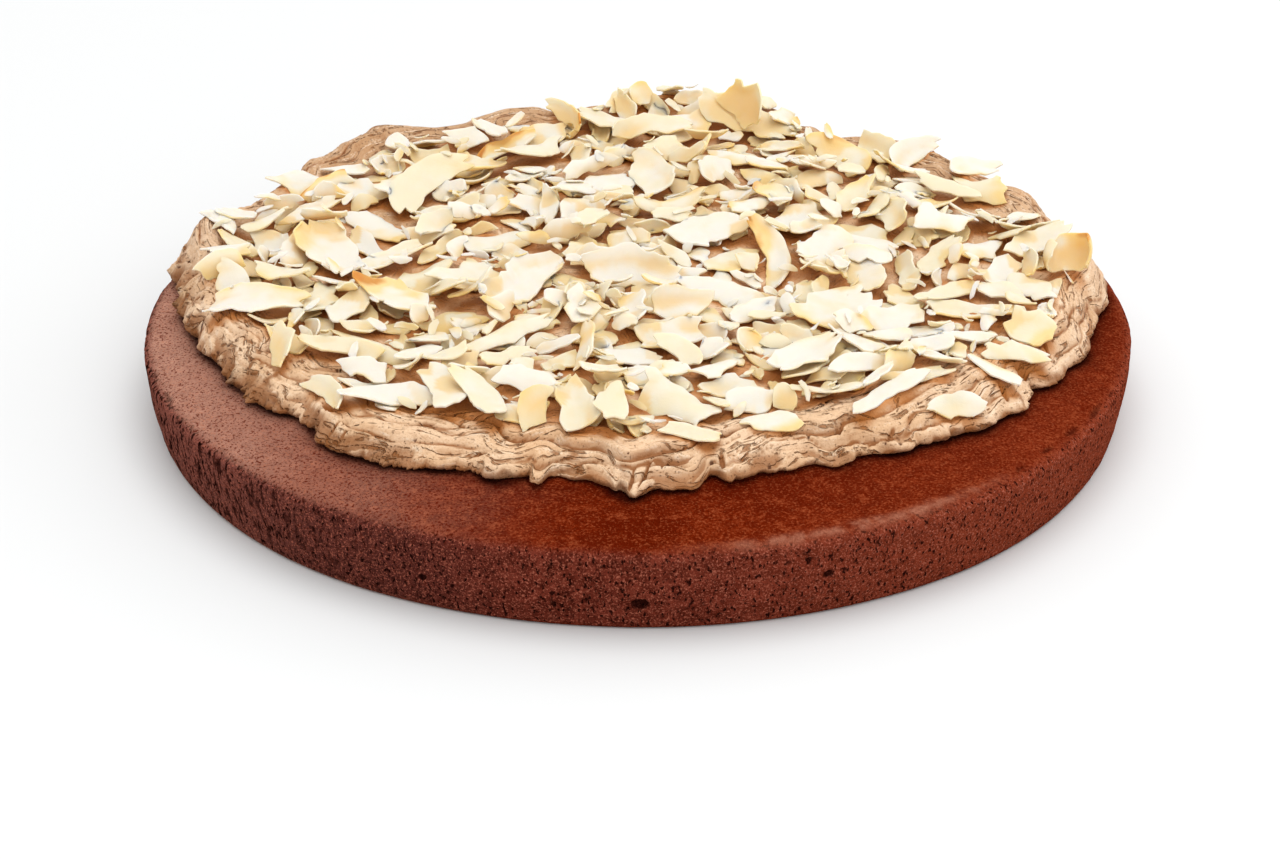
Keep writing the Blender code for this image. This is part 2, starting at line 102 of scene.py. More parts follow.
# Points at a turn, a radius and a height.
def ringPoints(turn, radius, height):
    return np.stack([radius * np.cos(turn), radius * np.sin(turn), height + 0 * turn], axis=-1)


# How far one turn is from another, in radians from -pi to pi.
def turnGap(turn, degrees):
    return (turn - math.radians(degrees) + math.pi) % fullTurn - math.pi


# Triangles between two rings; the one with fewer points has half or as many as the other.
def bridge(low, lowCount, high, highCount):
    most = max(lowCount, highCount)
    i = np.arange(most)
    a, b = low + i * lowCount // most, low + (i + 1) * lowCount // most % lowCount
    c, d = high + i * highCount // most, high + (i + 1) * highCount // most % highCount
    first, second = np.stack([a, b, d], axis=1), np.stack([a, d, c], axis=1)
    return np.concatenate([first[a != b], second[c != d]])


# A closed skin from rings that run from the middle of the underside to the middle of the top.
def closedSkin(rings):
    starts = np.cumsum([0] + [len(ring) for ring in rings])
    bands = [
        bridge(starts[k], len(rings[k]), starts[k + 1], len(rings[k + 1]))
        for k in range(len(rings) - 1)
    ]
    return np.concatenate(rings), np.concatenate(bands)


# Puts points in millimetres and faces with three or four corners into a new object, with one
# number, or three, for each point in every named attribute.
def newPiece(name, points, faces, material, attributes):
    mesh = bpy.data.meshes.new(name)
    corners = faces.shape[1]
    mesh.vertices.add(len(points))
    mesh.vertices.foreach_set("co", (points * mm).astype(np.float32).ravel())
    mesh.loops.add(faces.size)
    mesh.loops.foreach_set("vertex_index", faces.astype(np.int32).ravel())
    mesh.polygons.add(len(faces))
    mesh.polygons.foreach_set("loop_start", np.arange(0, faces.size, corners, dtype=np.int32))
    mesh.polygons.foreach_set("loop_total", np.full(len(faces), corners, dtype=np.int32))
    mesh.update(calc_edges=True)
    for key, values in attributes.items():
        kind, field = ("FLOAT_VECTOR", "vector") if values.ndim == 2 else ("FLOAT", "value")
        mesh.attributes.new(key, kind, "POINT").data.foreach_set(field, values.astype(np.float32).ravel())
    mesh.materials.append(material)
    mesh.shade_smooth()
    piece = bpy.data.objects.new(name, mesh)
    bpy.context.scene.collection.objects.link(piece)
    print(f"{name}: {len(points)} points, {len(faces)} faces")
    return piece


# A shader value: sums and products of values add the Math nodes that work them out.
class Value:
    def __init__(self, sheet, socket):
        self.sheet, self.socket = sheet, socket

    def __add__(self, other):
        return self.sheet.maths("ADD", self, other)

    def __sub__(self, other):
        return self.sheet.maths("SUBTRACT", self, other)

    def __rsub__(self, other):
        return self.sheet.maths("SUBTRACT", other, self)

    def __mul__(self, other):
        return self.sheet.maths("MULTIPLY", self, other)

    def __pow__(self, other):
        return self.sheet.maths("POWER", self, other)

    __radd__, __rmul__ = __add__, __mul__


# The node sheet of one material.
class Sheet:
    def __init__(self, name, **constants):
        self.material = bpy.data.materials.new(name)
        self.material.use_nodes = True
        self.tree = self.material.node_tree
        self.shader = self.tree.nodes["Principled BSDF"]
        for key, value in constants.items():
            self.shader.inputs[key.replace("_", " ")].default_value = value

    # adds a node, with its settings first and then its sockets' values or links
    def node(self, kind, settings=None, sockets=None, output=0):
        made = self.tree.nodes.new("ShaderNode" + kind)
        for key, value in (settings or {}).items():
            setattr(made, key, value)
        for key, value in (sockets or {}).items():
            self.feed(made.inputs[key], value)
        return Value(self, made.outputs[output])

    def feed(self, socket, value):
        if isinstance(value, Value):
            self.tree.links.new(value.socket, socket)
        elif isinstance(value, tuple) and socket.type == "RGBA" and len(value) == 3:
            socket.default_value = (*value, 1.0)
        else:
            socket.default_value = value

    def maths(self, operation, first, second):
        return self.node("Math", {"operation": operation}, {0: first, 1: second})

    def attribute(self, name, output=2):
        return self.node("Attribute", {"attribute_name": name}, output=output)

    def place(self):
        return self.node("TexCoord", output=3)

    # noise with features of a size in millimetres, about 0.5 on average
    def grain(self, size, detail=2.0, roughness=0.5, stretch=(1, 1, 1), over=None):
        unit = 1 if over else mm
        mapping = {"Vector": over or self.place(), "Scale": tuple(1 / (size * unit * s) for s in stretch)}
        place = self.node("Mapping", None, mapping)
        sockets = {"Vector": place, "Scale": 1.0, "Detail": detail, "Roughness": roughness}
        return self.node("TexNoise", None, sockets)

    # 0 below low and 1 above high, softly between
    def between(self, value, low, high):
        settings = {"interpolation_type": "SMOOTHSTEP"}
        return self.node("MapRange", settings, {"Value": value, "From Min": low, "From Max": high})

    def blend(self, share, first, second, how="MIX"):
        settings = {"data_type": "RGBA", "blend_type": how}
        return self.node("Mix", settings, {0: share, 6: first, 7: second}, output=2)

    # a colour with a piece's own tints laid over it in turn, each with its share
    def tinted(self, piece, colour, tints):
        for share, tint in tints:
            colour = self.blend(share, colour, piece[tint])
        return colour

    def bump(self, height, depth, strength=1.0, under=None):
        sockets = {"Strength": strength, "Distance": depth * mm, "Height": height}
        if under:
            sockets["Normal"] = under
        return self.node("Bump", None, sockets)

    def finish(self, **links):
        for key, value in links.items():
            self.feed(self.shader.inputs[key.replace("_", " ")], value)
        return self.material


# Sponge
sponge = {
    "radius": 130.0,
    "footRadius": 127.5,
    "footRound": 1.5,
    "widestHeight": 19.0,
    "sideBulge": 0.5,
    "creaseRadius": 125.5,
    "creaseHeight": 21.8,
    "topHeight": 25.5,
    "domePower": 2.4,
    "waves": ((2, 0.35, 40), (3, 0.30, 200), (5, 0.20, 75), (9, 0.12, 310)),  # number, depth, turn
    "segments": 1200,
    "footRows": 5,
    "sideRows": 42,
    "shoulderRows": 10,
    "ringRow": 0.9,
    "ringReach": 22.0,  # how far in the fine rows go on top
    "domeRings": (96.0, 80.0, 60.0, 35.0),  # radii of the coarse rows, under the frosting
    "undersideRings": (60.0, 118.0),
    "lumps": 0.20,
    "poreDepth": 0.8,
    "pinholeDepth": 0.45,
    "holes": (  # turn, height, width, depth
        (270.1, 7.3, 1.7, 1.6), (289.8, 11.8, 1.0, 1.1), (247.0, 9.0, 0.9, 0.8),
    ),
    "dents": (  # turn, how far in from the widest, half length, half width, depth
        (333.0, 4.0, 5.0, 1.5, 1.1), (327.0, 5.5, 3.5, 1.3, 0.9), (321.5, 5.5, 3.0, 1.1, 0.8),
        (316.0, 5.0, 2.5, 0.9, 0.6), (338.0, 3.0, 2.0, 0.8, 0.5), (203.0, 3.0, 3.5, 1.0, 0.6),
        (197.0, 2.5, 2.5, 0.8, 0.5), (20.0, 4.0, 4.0, 1.0, 0.6), (92.0, 4.5, 5.0, 1.2, 0.8),
        (131.0, 4.0, 3.0, 1.0, 0.6),
    ),
    "crust": (277, 313, 1.5),  # from turn, to turn, width of the pale rough strip along the crease
    "sideColour": (0.200, 0.046, 0.028),
    "sideDark": (0.105, 0.021, 0.012),
    "sideLight": (0.410, 0.140, 0.092),
    "topColour": (0.190, 0.025, 0.005),
    "topDark": (0.130, 0.013, 0.002),
    "topLight": (0.480, 0.150, 0.065),
    # painted light: the right of the side and top brighter and redder
    "paintedRightLight": (0.285, 0.062, 0.028),
    # painted sheen on the left side
    "leftSideSheen": (0.300, 0.125, 0.100),
    "sideShade": (0.105, 0.034, 0.028),
    # near-black painted shade in pores, openings and under the frosting's edge
    "hollow": (0.022, 0.004, 0.003),
    # painted sheen on the top's left
    "paintedSheen": (0.62, 0.375, 0.285),
    "crustColour": (0.40, 0.17, 0.11),
}


# Waves round the edge: a sum of cosines of the turn.
def spongeWave(turn):
    return sum(depth * np.cos(n * turn - math.radians(at)) for n, depth, at in sponge["waves"])


# Top of the dome: highest in the middle, falling with a power of the radius to the crease.
def spongeTop(radius):
    share = np.minimum(radius / sponge["creaseRadius"], 1)
    fall = sponge["topHeight"] - sponge["creaseHeight"]
    return sponge["topHeight"] - fall * share ** sponge["domePower"]


# Rows of (radius, height): a rounded foot, a flared side with a slight bulge, a quarter-ellipse
# shoulder, then in across the dome.
def spongeProfile():
    footRadius, footRound = sponge["footRadius"], sponge["footRound"]
    bend = np.linspace(0, math.pi / 2, sponge["footRows"])
    outs, ups = footRadius - footRound + footRound * np.sin(bend), footRound * (1 - np.cos(bend))
    rows = [np.stack([outs, ups], axis=1)]
    share = np.linspace(0, 1, sponge["sideRows"] + 1)[1:]
    flare = (sponge["radius"] - footRadius) * share + sponge["sideBulge"] * np.sin(math.pi * share)
    rise = (sponge["widestHeight"] - footRound) * share
    rows.append(np.stack([footRadius + flare, footRound + rise], axis=1))
    bend = np.linspace(0, math.pi / 2, sponge["shoulderRows"] + 1)[1:]
    width = sponge["radius"] - sponge["creaseRadius"]
    depth = sponge["creaseHeight"] - sponge["widestHeight"]
    outs = sponge["radius"] - width * (1 - np.cos(bend))
    rows.append(np.stack([outs, sponge["widestHeight"] + depth * np.sin(bend)], axis=1))
    inner = sponge["creaseRadius"] - np.arange(0.7, sponge["ringReach"], sponge["ringRow"])
    rows.append(np.stack([inner, spongeTop(inner)], axis=1))
    return np.concatenate(rows)


# Relief of the crumb along the surface's own normal: soft lumps everywhere; on the side, upright
# pores and pinholes, more of them on the left, and the odd hole; long dents over the shoulder.
# opening is how strongly painted shade darkens a point: in pores, pinholes, holes and dents.
def spongeRelief(turn, radius, height, onSide):
    spot = ringPoints(turn, radius, height)
    leftShare = 0.5 - 0.5 * np.cos(turn)
    arc = turn / fullTurn
    pores = hollows(arc * 210, height / 5.0, 210, 0.16, 5, 0.12, 0.3)
    morePores = hollows(arc * 260, height / 4.2, 260, 0.5, 6, 0.12, 0.32) * smooth(0.45, 0.95, leftShare)
    pores = np.maximum(pores, morePores)
    pinholes = hollows(arc * 430, height / 2.2, 430, 0.5, 8, 0.16, 0.4)
    patches = smooth(-0.5, 0.5, layeredNoise(spot / 14, 2, 31) + 0.4 * leftShare)
    relief = sponge["lumps"] * layeredNoise(spot / 7, 3, 11) * (0.4 + 0.6 * onSide)
    relief -= onSide * patches * (sponge["poreDepth"] * pores**0.6 + sponge["pinholeDepth"] * pinholes**0.7)
    opening = np.maximum(pores, 0.7 * pinholes) * patches * onSide
    for at, up, width, depth in sponge["holes"]:
        away = np.hypot(turnGap(turn, at) * sponge["radius"] * 0.8, height - up) / width
        hole = np.clip(1 - away**2, 0, 1) * (height < sponge["widestHeight"])
        relief -= depth * hole**0.5
        opening = np.maximum(opening, 1.6 * hole**0.4)
    inward = sponge["radius"] - radius + 0.8 * (height - sponge["widestHeight"])
    for at, place, length, width, depth in sponge["dents"]:
        across = inward - place + 0.5 * noise(spot / 1.7, 13)
        away = (turnGap(turn, at) * sponge["radius"] / length) ** 2 + (across / width) ** 2
        dent = bell(away, 1) * (height > sponge["widestHeight"] - 5)
        relief -= depth * dent
        opening = np.maximum(opening, 0.55 * dent)
    return relief, opening, spot


# The pale crust along the crease: a bell across it, broken by noise, faded at both ends.
def creaseCrust(turn, radius, height, spot):
    low, high, width = sponge["crust"]
    degrees = np.degrees(turn)
    ends = smooth(low - 6, low + 10, degrees) * smooth(high + 4, high - 8, degrees)
    away = np.hypot(radius - sponge["creaseRadius"] - 1.5, height - sponge["creaseHeight"] + 0.5)
    wander = 0.8 * noise(spot / 6, 15)
    broken = 0.6 * noise(spot / 1.1, 14) + 0.5 * noise(spot / 3.5, 18)
    return ends * bell(away + wander, width) * smooth(-0.9, 0.5, broken)


# How near the ground lies to the frosting's edge, for the painted shadow it casts there: 1 beneath it,
# fading out within a few millimetres.
def edgeShade(turn, radius, height):
    outward = radius - edgeRadius(turn)
    return np.exp(-np.clip(outward + 0.6, 0, None) / 1.9) * (height > sponge["widestHeight"])


# The profile carried round the cake, each row moved along its own normal by the relief, and closed
# by coarse rows over the dome and under the foot.
def buildSponge(material):
    profile = spongeProfile()
    tangent = np.gradient(profile, axis=0)
    tangent /= np.linalg.norm(tangent, axis=1, keepdims=True)
    rings, openings, marks, crusts, shades = [], [], [], [], []
    for row, (radius, height) in enumerate(profile):
        inner = radius < sponge["creaseRadius"] - 7 and height > sponge["widestHeight"]
        count = sponge["segments"] // (2 if inner else 1)
        turn = np.linspace(0, fullTurn, count, endpoint=False)
        out = radius + spongeWave(turn) * (radius / sponge["radius"]) ** 4
        onSide = smooth(sponge["creaseHeight"] + 0.1, sponge["creaseHeight"] - 1.6, height)
        onSide = onSide * smooth(0.0, 1.2, height)
        relief, opening, spot = spongeRelief(turn, out, height + 0 * turn, onSide)
        crust = creaseCrust(turn, out, height + 0 * turn, spot)
        aboveFoot = smooth(0.0, 1.5, height)
        relief = (relief + 0.3 * crust * noise(spot / 0.9, 16)) * aboveFoot
        normalOut, normalUp = tangent[row, 1], -tangent[row, 0]
        out = out + relief * normalOut
        up = height + relief * normalUp
        rings.append(ringPoints(turn, out, np.maximum(up, 0)))
        openings.append(opening * aboveFoot)
        marks.append(onSide + 0 * turn)
        crusts.append(crust)
        shades.append(edgeShade(turn, out, height + 0 * turn))

    def flatRing(radius, height, count):
        return ringPoints(np.linspace(0, fullTurn, count, endpoint=False), radius, height)

    few = sponge["segments"] // 4
    for radius in sponge["domeRings"]:
        rings.append(flatRing(radius, spongeTop(radius), few))
        for values in (openings, marks, crusts, shades):
            values.append(np.zeros(few))
    inside, outside = sponge["undersideRings"]
    underside = [flatRing(inside, 0, few), flatRing(outside, 0, 2 * few)]
    rings = [np.zeros((1, 3)), *underside, *rings, np.array([[0, 0, sponge["topHeight"]]])]
    blank = np.zeros(1 + sum(len(ring) for ring in underside))
    points, faces = closedSkin(rings)
    named = {"opening": openings, "side": marks, "crust": crusts, "shade": shades}
    values = {key: np.concatenate([blank, *rows, np.zeros(1)]) for key, rows in named.items()}
    return newPiece("spongeCake", points, faces, material, values)


# Dark and light crumb in patches, laid over one another from the broadest to the finest, with painted
# light: the right brighter and redder, a painted sheen on the left, a painted shaded band of the left
# side, and painted shade in pores, openings and under the frosting's edge. side is 1 on the side and 0
# on top; sideways is X, in metres.
def spongeFinish():
    s = Sheet("spongeCrumb", Specular_IOR_Level=0.0)
    opening, side, crust = s.attribute("opening"), s.attribute("side"), s.attribute("crust")
    crumb, mottle, broad = s.grain(0.5, 3, 0.65), s.grain(3.2, 3, 0.6), s.grain(22.0, 2, 0.5)
    tiny, gritty = s.grain(0.85, 2, 0.5, (1, 1, 1.7)), s.grain(0.65, 2, 0.6)
    upright = s.grain(1.3, 2, 0.5, (1, 1, 4.0))
    sideways = s.node("SeparateXYZ", None, {0: s.place()}, 0)
    leftSide = s.between(sideways, -0.03, -0.13)
    shady = s.between(sideways, -0.02, -0.06) * s.between(sideways, -0.125, -0.085)
    # painted sheen on the top's left, uneven
    leftTopSheen = s.between(sideways + (broad - 0.5) * 0.03, -0.01, -0.145) * (0.55 + mottle * 0.4)
    # painted light on the top's right, in patches
    litRight = s.between(sideways, 0.0, 0.1) * (0.08 + broad * 0.45)
    sideColour = s.tinted(sponge, sponge["sideDark"], (
        (s.between(mottle, 0.35, 0.65), "sideColour"),
        # painted light: the side brighter and redder to the right
        (s.between(sideways, -0.02, 0.12) * 0.8, "paintedRightLight"),
        (shady * 0.75, "sideShade"),
        # painted sheen on the left side
        (leftSide * leftSide * 0.75, "leftSideSheen"),
        (s.between(crumb, 0.50, 0.65) * 0.95, "sideLight"),
        (s.between(gritty, 0.47, 0.32) * 0.8, "sideDark"),
        # painted shade in pits and, on the left, in upright fibres
        (s.between(tiny, 0.43, 0.31) * 0.9, "hollow"),
        (s.between(upright, 0.48, 0.38) * leftSide * 0.95, "hollow"),
    ))
    topColour = s.tinted(sponge, sponge["topDark"], (
        (s.between(broad * 0.5 + mottle * 0.5, 0.40, 0.58), "topColour"),
        (s.between(mottle, 0.50, 0.38) * 0.55, "topDark"),
        (s.between(mottle, 0.54, 0.68) * 0.2, "topLight"),
        (leftTopSheen, "paintedSheen"),
        (litRight, "paintedRightLight"),
        (s.between(gritty, 0.50, 0.70) * 0.40, "topLight"),
        (s.between(gritty, 0.48, 0.34) * 0.85, "topDark"),
        (s.between(tiny, 0.40, 0.30) * 0.5, "topDark"),
        # painted shadow of the frosting's edge
        (s.attribute("shade") * 0.8, "hollow"),
    ))
    colour = s.tinted(sponge, s.blend(side, topColour, sideColour), (
        (crust * (0.4 + gritty), "crustColour"),
        # painted shade in pores, holes and dents
        (s.between(opening, 0.1, 0.9) * 0.85, "hollow"),
    ))
    pitted = s.between(tiny, 0.42, 0.26) * -1.0
    fibres = s.between(upright, 0.46, 0.30) * leftSide * -1.0
    fine = s.bump(crumb + gritty + pitted * side + fibres * side, 0.65, 0.95)
    coarse = s.bump(s.grain(1.8, 2, 0.5), 0.5, 0.6, fine)
    return s.finish(Base_Color=colour, Roughness=0.75 + side * 0.15, Normal=coarse)


# Frosting
frosting = {
    "edgeRadius": 114.5,
    "setBack": 6.0,
    "oval": 6.5,
    "lobes": (  # turn, half width, reach: where the spread edge bulges out or draws in
        (2, 6, 4), (20, 6, 1), (33, 5, -3), (54, 12, -6), (60, 6, -4), (70, 4, 3), (85, 8, 8),
        (101, 6, -3), (111, 3, 3), (121, 6, -4), (131, 8, 8), (154, 7, -3), (169, 6, 6), (203, 12, -5),
        (204, 5, 3), (213, 3, -2), (220, 3, -4), (232, 5, 3), (257, 3, -4), (269, 3, 5), (275, 3, 2),
        (280, 2, -4), (294, 8, -4), (309, 8, -2), (323, 5, -1), (336, 5, -3), (343, 5, 1),
    ),
    "nibs": (  # turn, half width, reach: torn bits of the edge
        (253.1, 1.3, -2.4), (256.5, 1.1, 6.2), (246.2, 0.8, 1.2), (259.4, 1.3, -1.0), (267.9, 0.7, -2.8),
        (270.2, 1.2, 1.2), (281.8, 0.9, 2.4), (284.6, 1.6, 1.8), (292.0, 1.8, 2.0), (326.5, 1.6, 1.2),
        (332.6, 1.0, -1.4), (346.5, 1.5, 0.8), (212.5, 1.4, -1.2), (222.2, 1.0, -1.6), (226.0, 1.4, 1.3),
        (191.5, 1.0, -1.2), (184.0, 1.0, -1.5), (179.0, 1.5, 1.0),
    ),
    "cliffs": (  # height, then (turn, inward) points along the foot of each step
        (1.9, ((226, 23), (236, 18), (245, 14.5), (250, 11), (256, 9), (261, 7.5), (267, 7), (273, 6.8),
               (280, 9), (290, 11))),
        (1.2, ((288, 7.5), (299, 5.8), (305, 7), (311, 8.5), (321, 11.5))),
        (0.9, ((252, 5.5), (257, 2.5), (262, 3.5), (267, 5.5), (272, 5.5), (279, 4.0))),
        (0.7, ((283, 3.0), (296, 3.8), (304, 2.0), (315, 3.0), (327, 4.2))),
        (1.0, ((312, 5.5), (324, 8.0), (332, 7.0), (341, 6.5), (353, 5.0))),
        (0.8, ((328, 3.0), (336, 3.5), (346, 2.5), (356, 3.5))),
        (1.0, ((192, 4.5), (199, 6.5), (208, 9.5))),
        (0.8, ((190, 7.0), (198, 8.5), (206, 11.5))),
        (1.1, ((203, 4.0), (212, 6.5), (221, 7.0), (228, 8.0))),
        (0.9, ((226, 4.8), (234, 4.2), (243, 5.0), (250, 4.0))),
        (0.7, ((230, 9.0), (238, 9.5), (247, 8.0))),
        (1.2, ((352, 9.0), (4, 7.0), (14, 8.0), (26, 6.5))),
        (1.0, ((20, 4.0), (32, 5.0), (46, 4.0), (60, 5.5))),
        (1.8, ((72, 12.0), (84, 9.0), (97, 10.0), (108, 13.0))),
        (1.0, ((62, 4.0), (80, 5.0), (98, 3.5))),
        (1.2, ((104, 6.0), (120, 4.5), (136, 6.0), (150, 4.5))),
        (0.9, ((118, 11.0), (134, 10.0), (146, 12.0))),
        (1.0, ((150, 7.5), (163, 6.0), (176, 8.0))),
    ),
    "gashes": (  # turn, inward, half length, half width, slant off the edge's own line, depth
        (281.5, 3.2, 2.3, 0.7, 80, 1.6), (299.2, 5.6, 1.5, 0.8, 0, 2.2), (326.0, 4.5, 2.6, 0.7, 60, 1.6),
        (332.5, 4.2, 2.4, 1.5, 70, 3.0), (339.0, 5.5, 3.2, 0.8, 50, 1.7), (348.0, 4.8, 2.0, 0.6, 75, 1.5),
        (343.5, 1.0, 1.1, 0.5, 80, 1.0), (204.0, 1.0, 2.2, 1.6, 30, 3.0), (224.0, 4.4, 2.8, 1.1, 10, 2.6),
        (220.5, 17.0, 10.0, 1.5, 13, 2.8), (178.0, 2.6, 1.1, 0.8, 0, 1.8), (183.0, 1.4, 1.3, 0.9, 40, 1.8),
        (188.0, 1.0, 1.2, 0.9, 0, 1.8), (192.5, 0.8, 1.5, 1.1, 30, 2.0), (186.0, 3.6, 1.0, 0.6, 60, 1.4),
        (269.0, 2.6, 3.0, 0.55, 75, 1.6), (270.8, 3.4, 3.4, 0.5, 55, 1.5), (274.5, 5.2, 6.0, 0.5, 8, 1.3),
        (262.5, 3.4, 4.0, 0.5, 24, 1.2), (238.0, 9.6, 3.2, 0.8, 20, 1.5), (243.0, 12.0, 4.5, 0.6, -18, 1.3),
        (227.5, 2.0, 2.2, 0.4, 70, 1.0), (229.5, 1.6, 1.8, 0.4, 60, 0.9), (247.5, 3.0, 2.6, 0.5, 35, 1.0),
        (306.0, 3.0, 2.2, 0.5, 35, 1.1), (303.5, 1.6, 2.0, 0.4, 20, 0.9), (319.0, 6.4, 0.8, 0.5, 0, 1.2),
        (15.0, 4.0, 2.5, 0.7, 40, 1.4), (58.0, 5.5, 3.0, 0.8, 20, 1.4), (112.0, 5.0, 2.5, 0.8, 50, 1.5),
        (141.0, 4.0, 2.5, 0.7, 30, 1.4), (166.0, 3.0, 1.6, 0.8, 30, 1.5),
    ),
    "ruffles": ((17, 0.7, 20), (26, 0.7, 95), (38, 0.6, 160), (47, 0.5, 310)),  # number, reach, turn
    "gap": 0.3,
    "level": 33.0,
    "rise": 0.022,
    "ridgeInward": 10.0,
    "ridgeWidth": 6.5,
    "ridgeFront": 0.4,
    "ridgeBack": 2.4,
    "lipFront": 13.5,
    "lipBack": 5.5,
    "lipPower": 1.9,
    "lipTuck": 2.2,
    "lipMiddle": 0.26,
    "backRise": (150, 32, 2.2),  # turn, half width, height of the rim where it stands up most
    "swellDepth": 0.9,
    "swellPitch": 38.0,
    "swellStart": 30.0,
    "segments": 1500,
    "rimReach": 17.0,
    "rimRow": 0.45,
    "middleRow": 0.014,  # as a share of the outline, from the rim in to the middle
    "innerReach": 0.46,
    "innerRow": 0.024,
    "undersideShares": (0.3, 0.6, 0.85),  # where the coarse rows under it lie
    "tuckRows": 6,
    "wildest": 225,  # turn at which the rim is torn most
    "steepest": (208, 26),  # turn, half width, of the stretch where the top stays high to its edge
    "tear": 0.9,  # how ragged the very edge is
    "teeth": 1.1,
    "roughness": 0.4,  # of the torn face below the edge
    "shoulder": 0.7,  # how far the top stands up just behind the edge
    "drawnOut": {  # length along the edge and across it of what a knife drew out
        "folds": (38, 5.0), "streaks": (18, 1.9), "drags": (11, 0.9), "leaves": (24, math.inf),
        "loose": (14, 7), "cavities": (7, 1.5), "torn": (1.6, 7), "uneven": (9, math.inf),
    },
    "foldDepth": 1.3,
    "streakDepth": 0.16,
    "dragDepth": 0.12,
    "leafDepth": 0.65,
    "cavityDepth": 1.2,
    "tornDepth": 0.8,
    "lumpDepth": 0.45,
    "pitDepth": 0.8,
    "roughPitDepth": 1.2,
    "colour": (0.670, 0.440, 0.265),
    "pale": (0.755, 0.545, 0.370),
    # painted highlight on crests
    "crestHighlight": (0.870, 0.720, 0.560),
    # painted shade in creases, cracks, grooves and grain, and darker patches
    "shadeAndDarkTone": (0.270, 0.100, 0.026),
    "shaded": (0.480, 0.190, 0.050),
    # painted shade that darkens the back
    "paintedBackShade": (0.74, 0.67, 0.60),
    # painted shade in bubbles and in pits
    "bubbleShade": (0.160, 0.060, 0.022),
    "hole": (0.100, 0.035, 0.014),
}


# Outline: a shifted oval, with a bell-shaped bulge for each lobe and small waves for ruffles.
def edgeRadius(turn):
    reach = frosting["edgeRadius"] + frosting["setBack"] * np.sin(turn) + frosting["oval"] * np.cos(2 * turn)
    for at, width, out in frosting["lobes"]:
        reach = reach + out * bell(turnGap(turn, at), math.radians(width))
    for count, out, at in frosting["ruffles"]:
        reach = reach + out * np.cos(count * turn - math.radians(at))
    return reach


# 1 at the back and 0 in front.
def backShare(turn):
    return 0.5 + 0.5 * np.sin(turn)


# Spread top without its lip: a plateau that rises to the back, a spiral swell, a ridge along the edge.
def frostingLevel(x, y):
    radius, turn = np.hypot(x, y), np.arctan2(y, x)
    inward = edgeRadius(turn) - radius
    spiral = np.sin(fullTurn * radius / frosting["swellPitch"] + 2 * turn)
    swell = frosting["swellDepth"] * spiral * (1 - bell(radius, frosting["swellStart"]))
    ridge = frosting["ridgeFront"] + (frosting["ridgeBack"] - frosting["ridgeFront"]) * backShare(turn)
    at, width, rise = frosting["backRise"]
    ridge = ridge + rise * bell(turnGap(turn, at), math.radians(width))
    ridge = ridge * bell(inward - frosting["ridgeInward"], frosting["ridgeWidth"])
    return frosting["level"] + frosting["rise"] * y + swell + ridge


# The underside lies a gap above the sponge.
def frostingBase(x, y):
    return spongeTop(np.hypot(x, y)) + frosting["gap"]


# The lip's middle lies a share of the way from the underside to the spread top.
def lipMiddle(x, y):
    base = frostingBase(x, y)
    return base + frosting["lipMiddle"] * (frostingLevel(x, y) - base)


# The plateau, brought down to the middle of the lip by one minus a power of the distance left.
def frostingTop(x, y):
    turn = np.arctan2(y, x)
    inward = edgeRadius(turn) - np.hypot(x, y)
    lipWidth = frosting["lipFront"] + (frosting["lipBack"] - frosting["lipFront"]) * backShare(turn)
    share = 1 - (1 - np.clip(inward / lipWidth, 0, 1)) ** frosting["lipPower"]
    middle = lipMiddle(x, y)
    return middle + (frostingLevel(x, y) - middle) * share


# Steps and gashes that a knife left: a step is a steep rise across its line that dies away on both
# sides; a gash is an oval hollow. Both are given by turn and distance in from the edge.
# shade is painted shade at the foot and on the face of each step and in each gash.
def knifeMarks(turn, inward, radius, spot):
    degrees = np.degrees(turn) % 360
    height, shade = 0 * inward, 0 * inward
    wobble = 0.6 * noise(spot / 11, 52) + 0.15 * noise(spot / 2.6, 53)
    for rise, path in frosting["cliffs"]:
        turns = np.array([point[0] for point in path], dtype=float)
        inner = np.array([point[1] for point in path], dtype=float)
        along = (degrees - turns[0]) % 360
        turns = (turns - turns[0]) % 360
        fade = smooth(0, 3.5, along) * smooth(turns[-1], turns[-1] - 3.5, along)
        off = inward - np.interp(along, turns, inner) - wobble
        step = (smooth(-0.2, 1.7, off) - 0.5) * np.exp(-np.abs(off) / 6)
        lip = 0.3 * bell(off + 0.9, 0.6) - 0.3 * bell(off, 0.35)
        height = height + rise * fade * (step + lip)
        # painted shade at the foot of each step and, fainter, on its face
        uneven = min(1.2, 0.65 + 0.3 * rise) * (0.9 + 0.5 * noise(spot / 7, 54))
        foot = bell(off, 0.3 + 0.1 * rise)
        face = 0.4 * smooth(-0.2, 0.2, off) * smooth(2.6, 0.8, off)
        shade = np.maximum(shade, fade * uneven * np.maximum(foot, face))
    for at, inner, length, width, slant, depth in frosting["gashes"]:
        along, across = turnGap(turn, at) * radius, inward - inner + 0.4 * wobble
        lean = math.radians(slant)
        u = along * math.cos(lean) + across * math.sin(lean)
        v = across * math.cos(lean) - along * math.sin(lean)
        oval = np.clip(1 - (u / length) ** 2 - (v / width) ** 2, 0, 1)
        height = height - depth * oval**0.6
        # painted shade in the gash
        shade = np.maximum(shade, 1.3 * oval**0.5)
    return height, shade
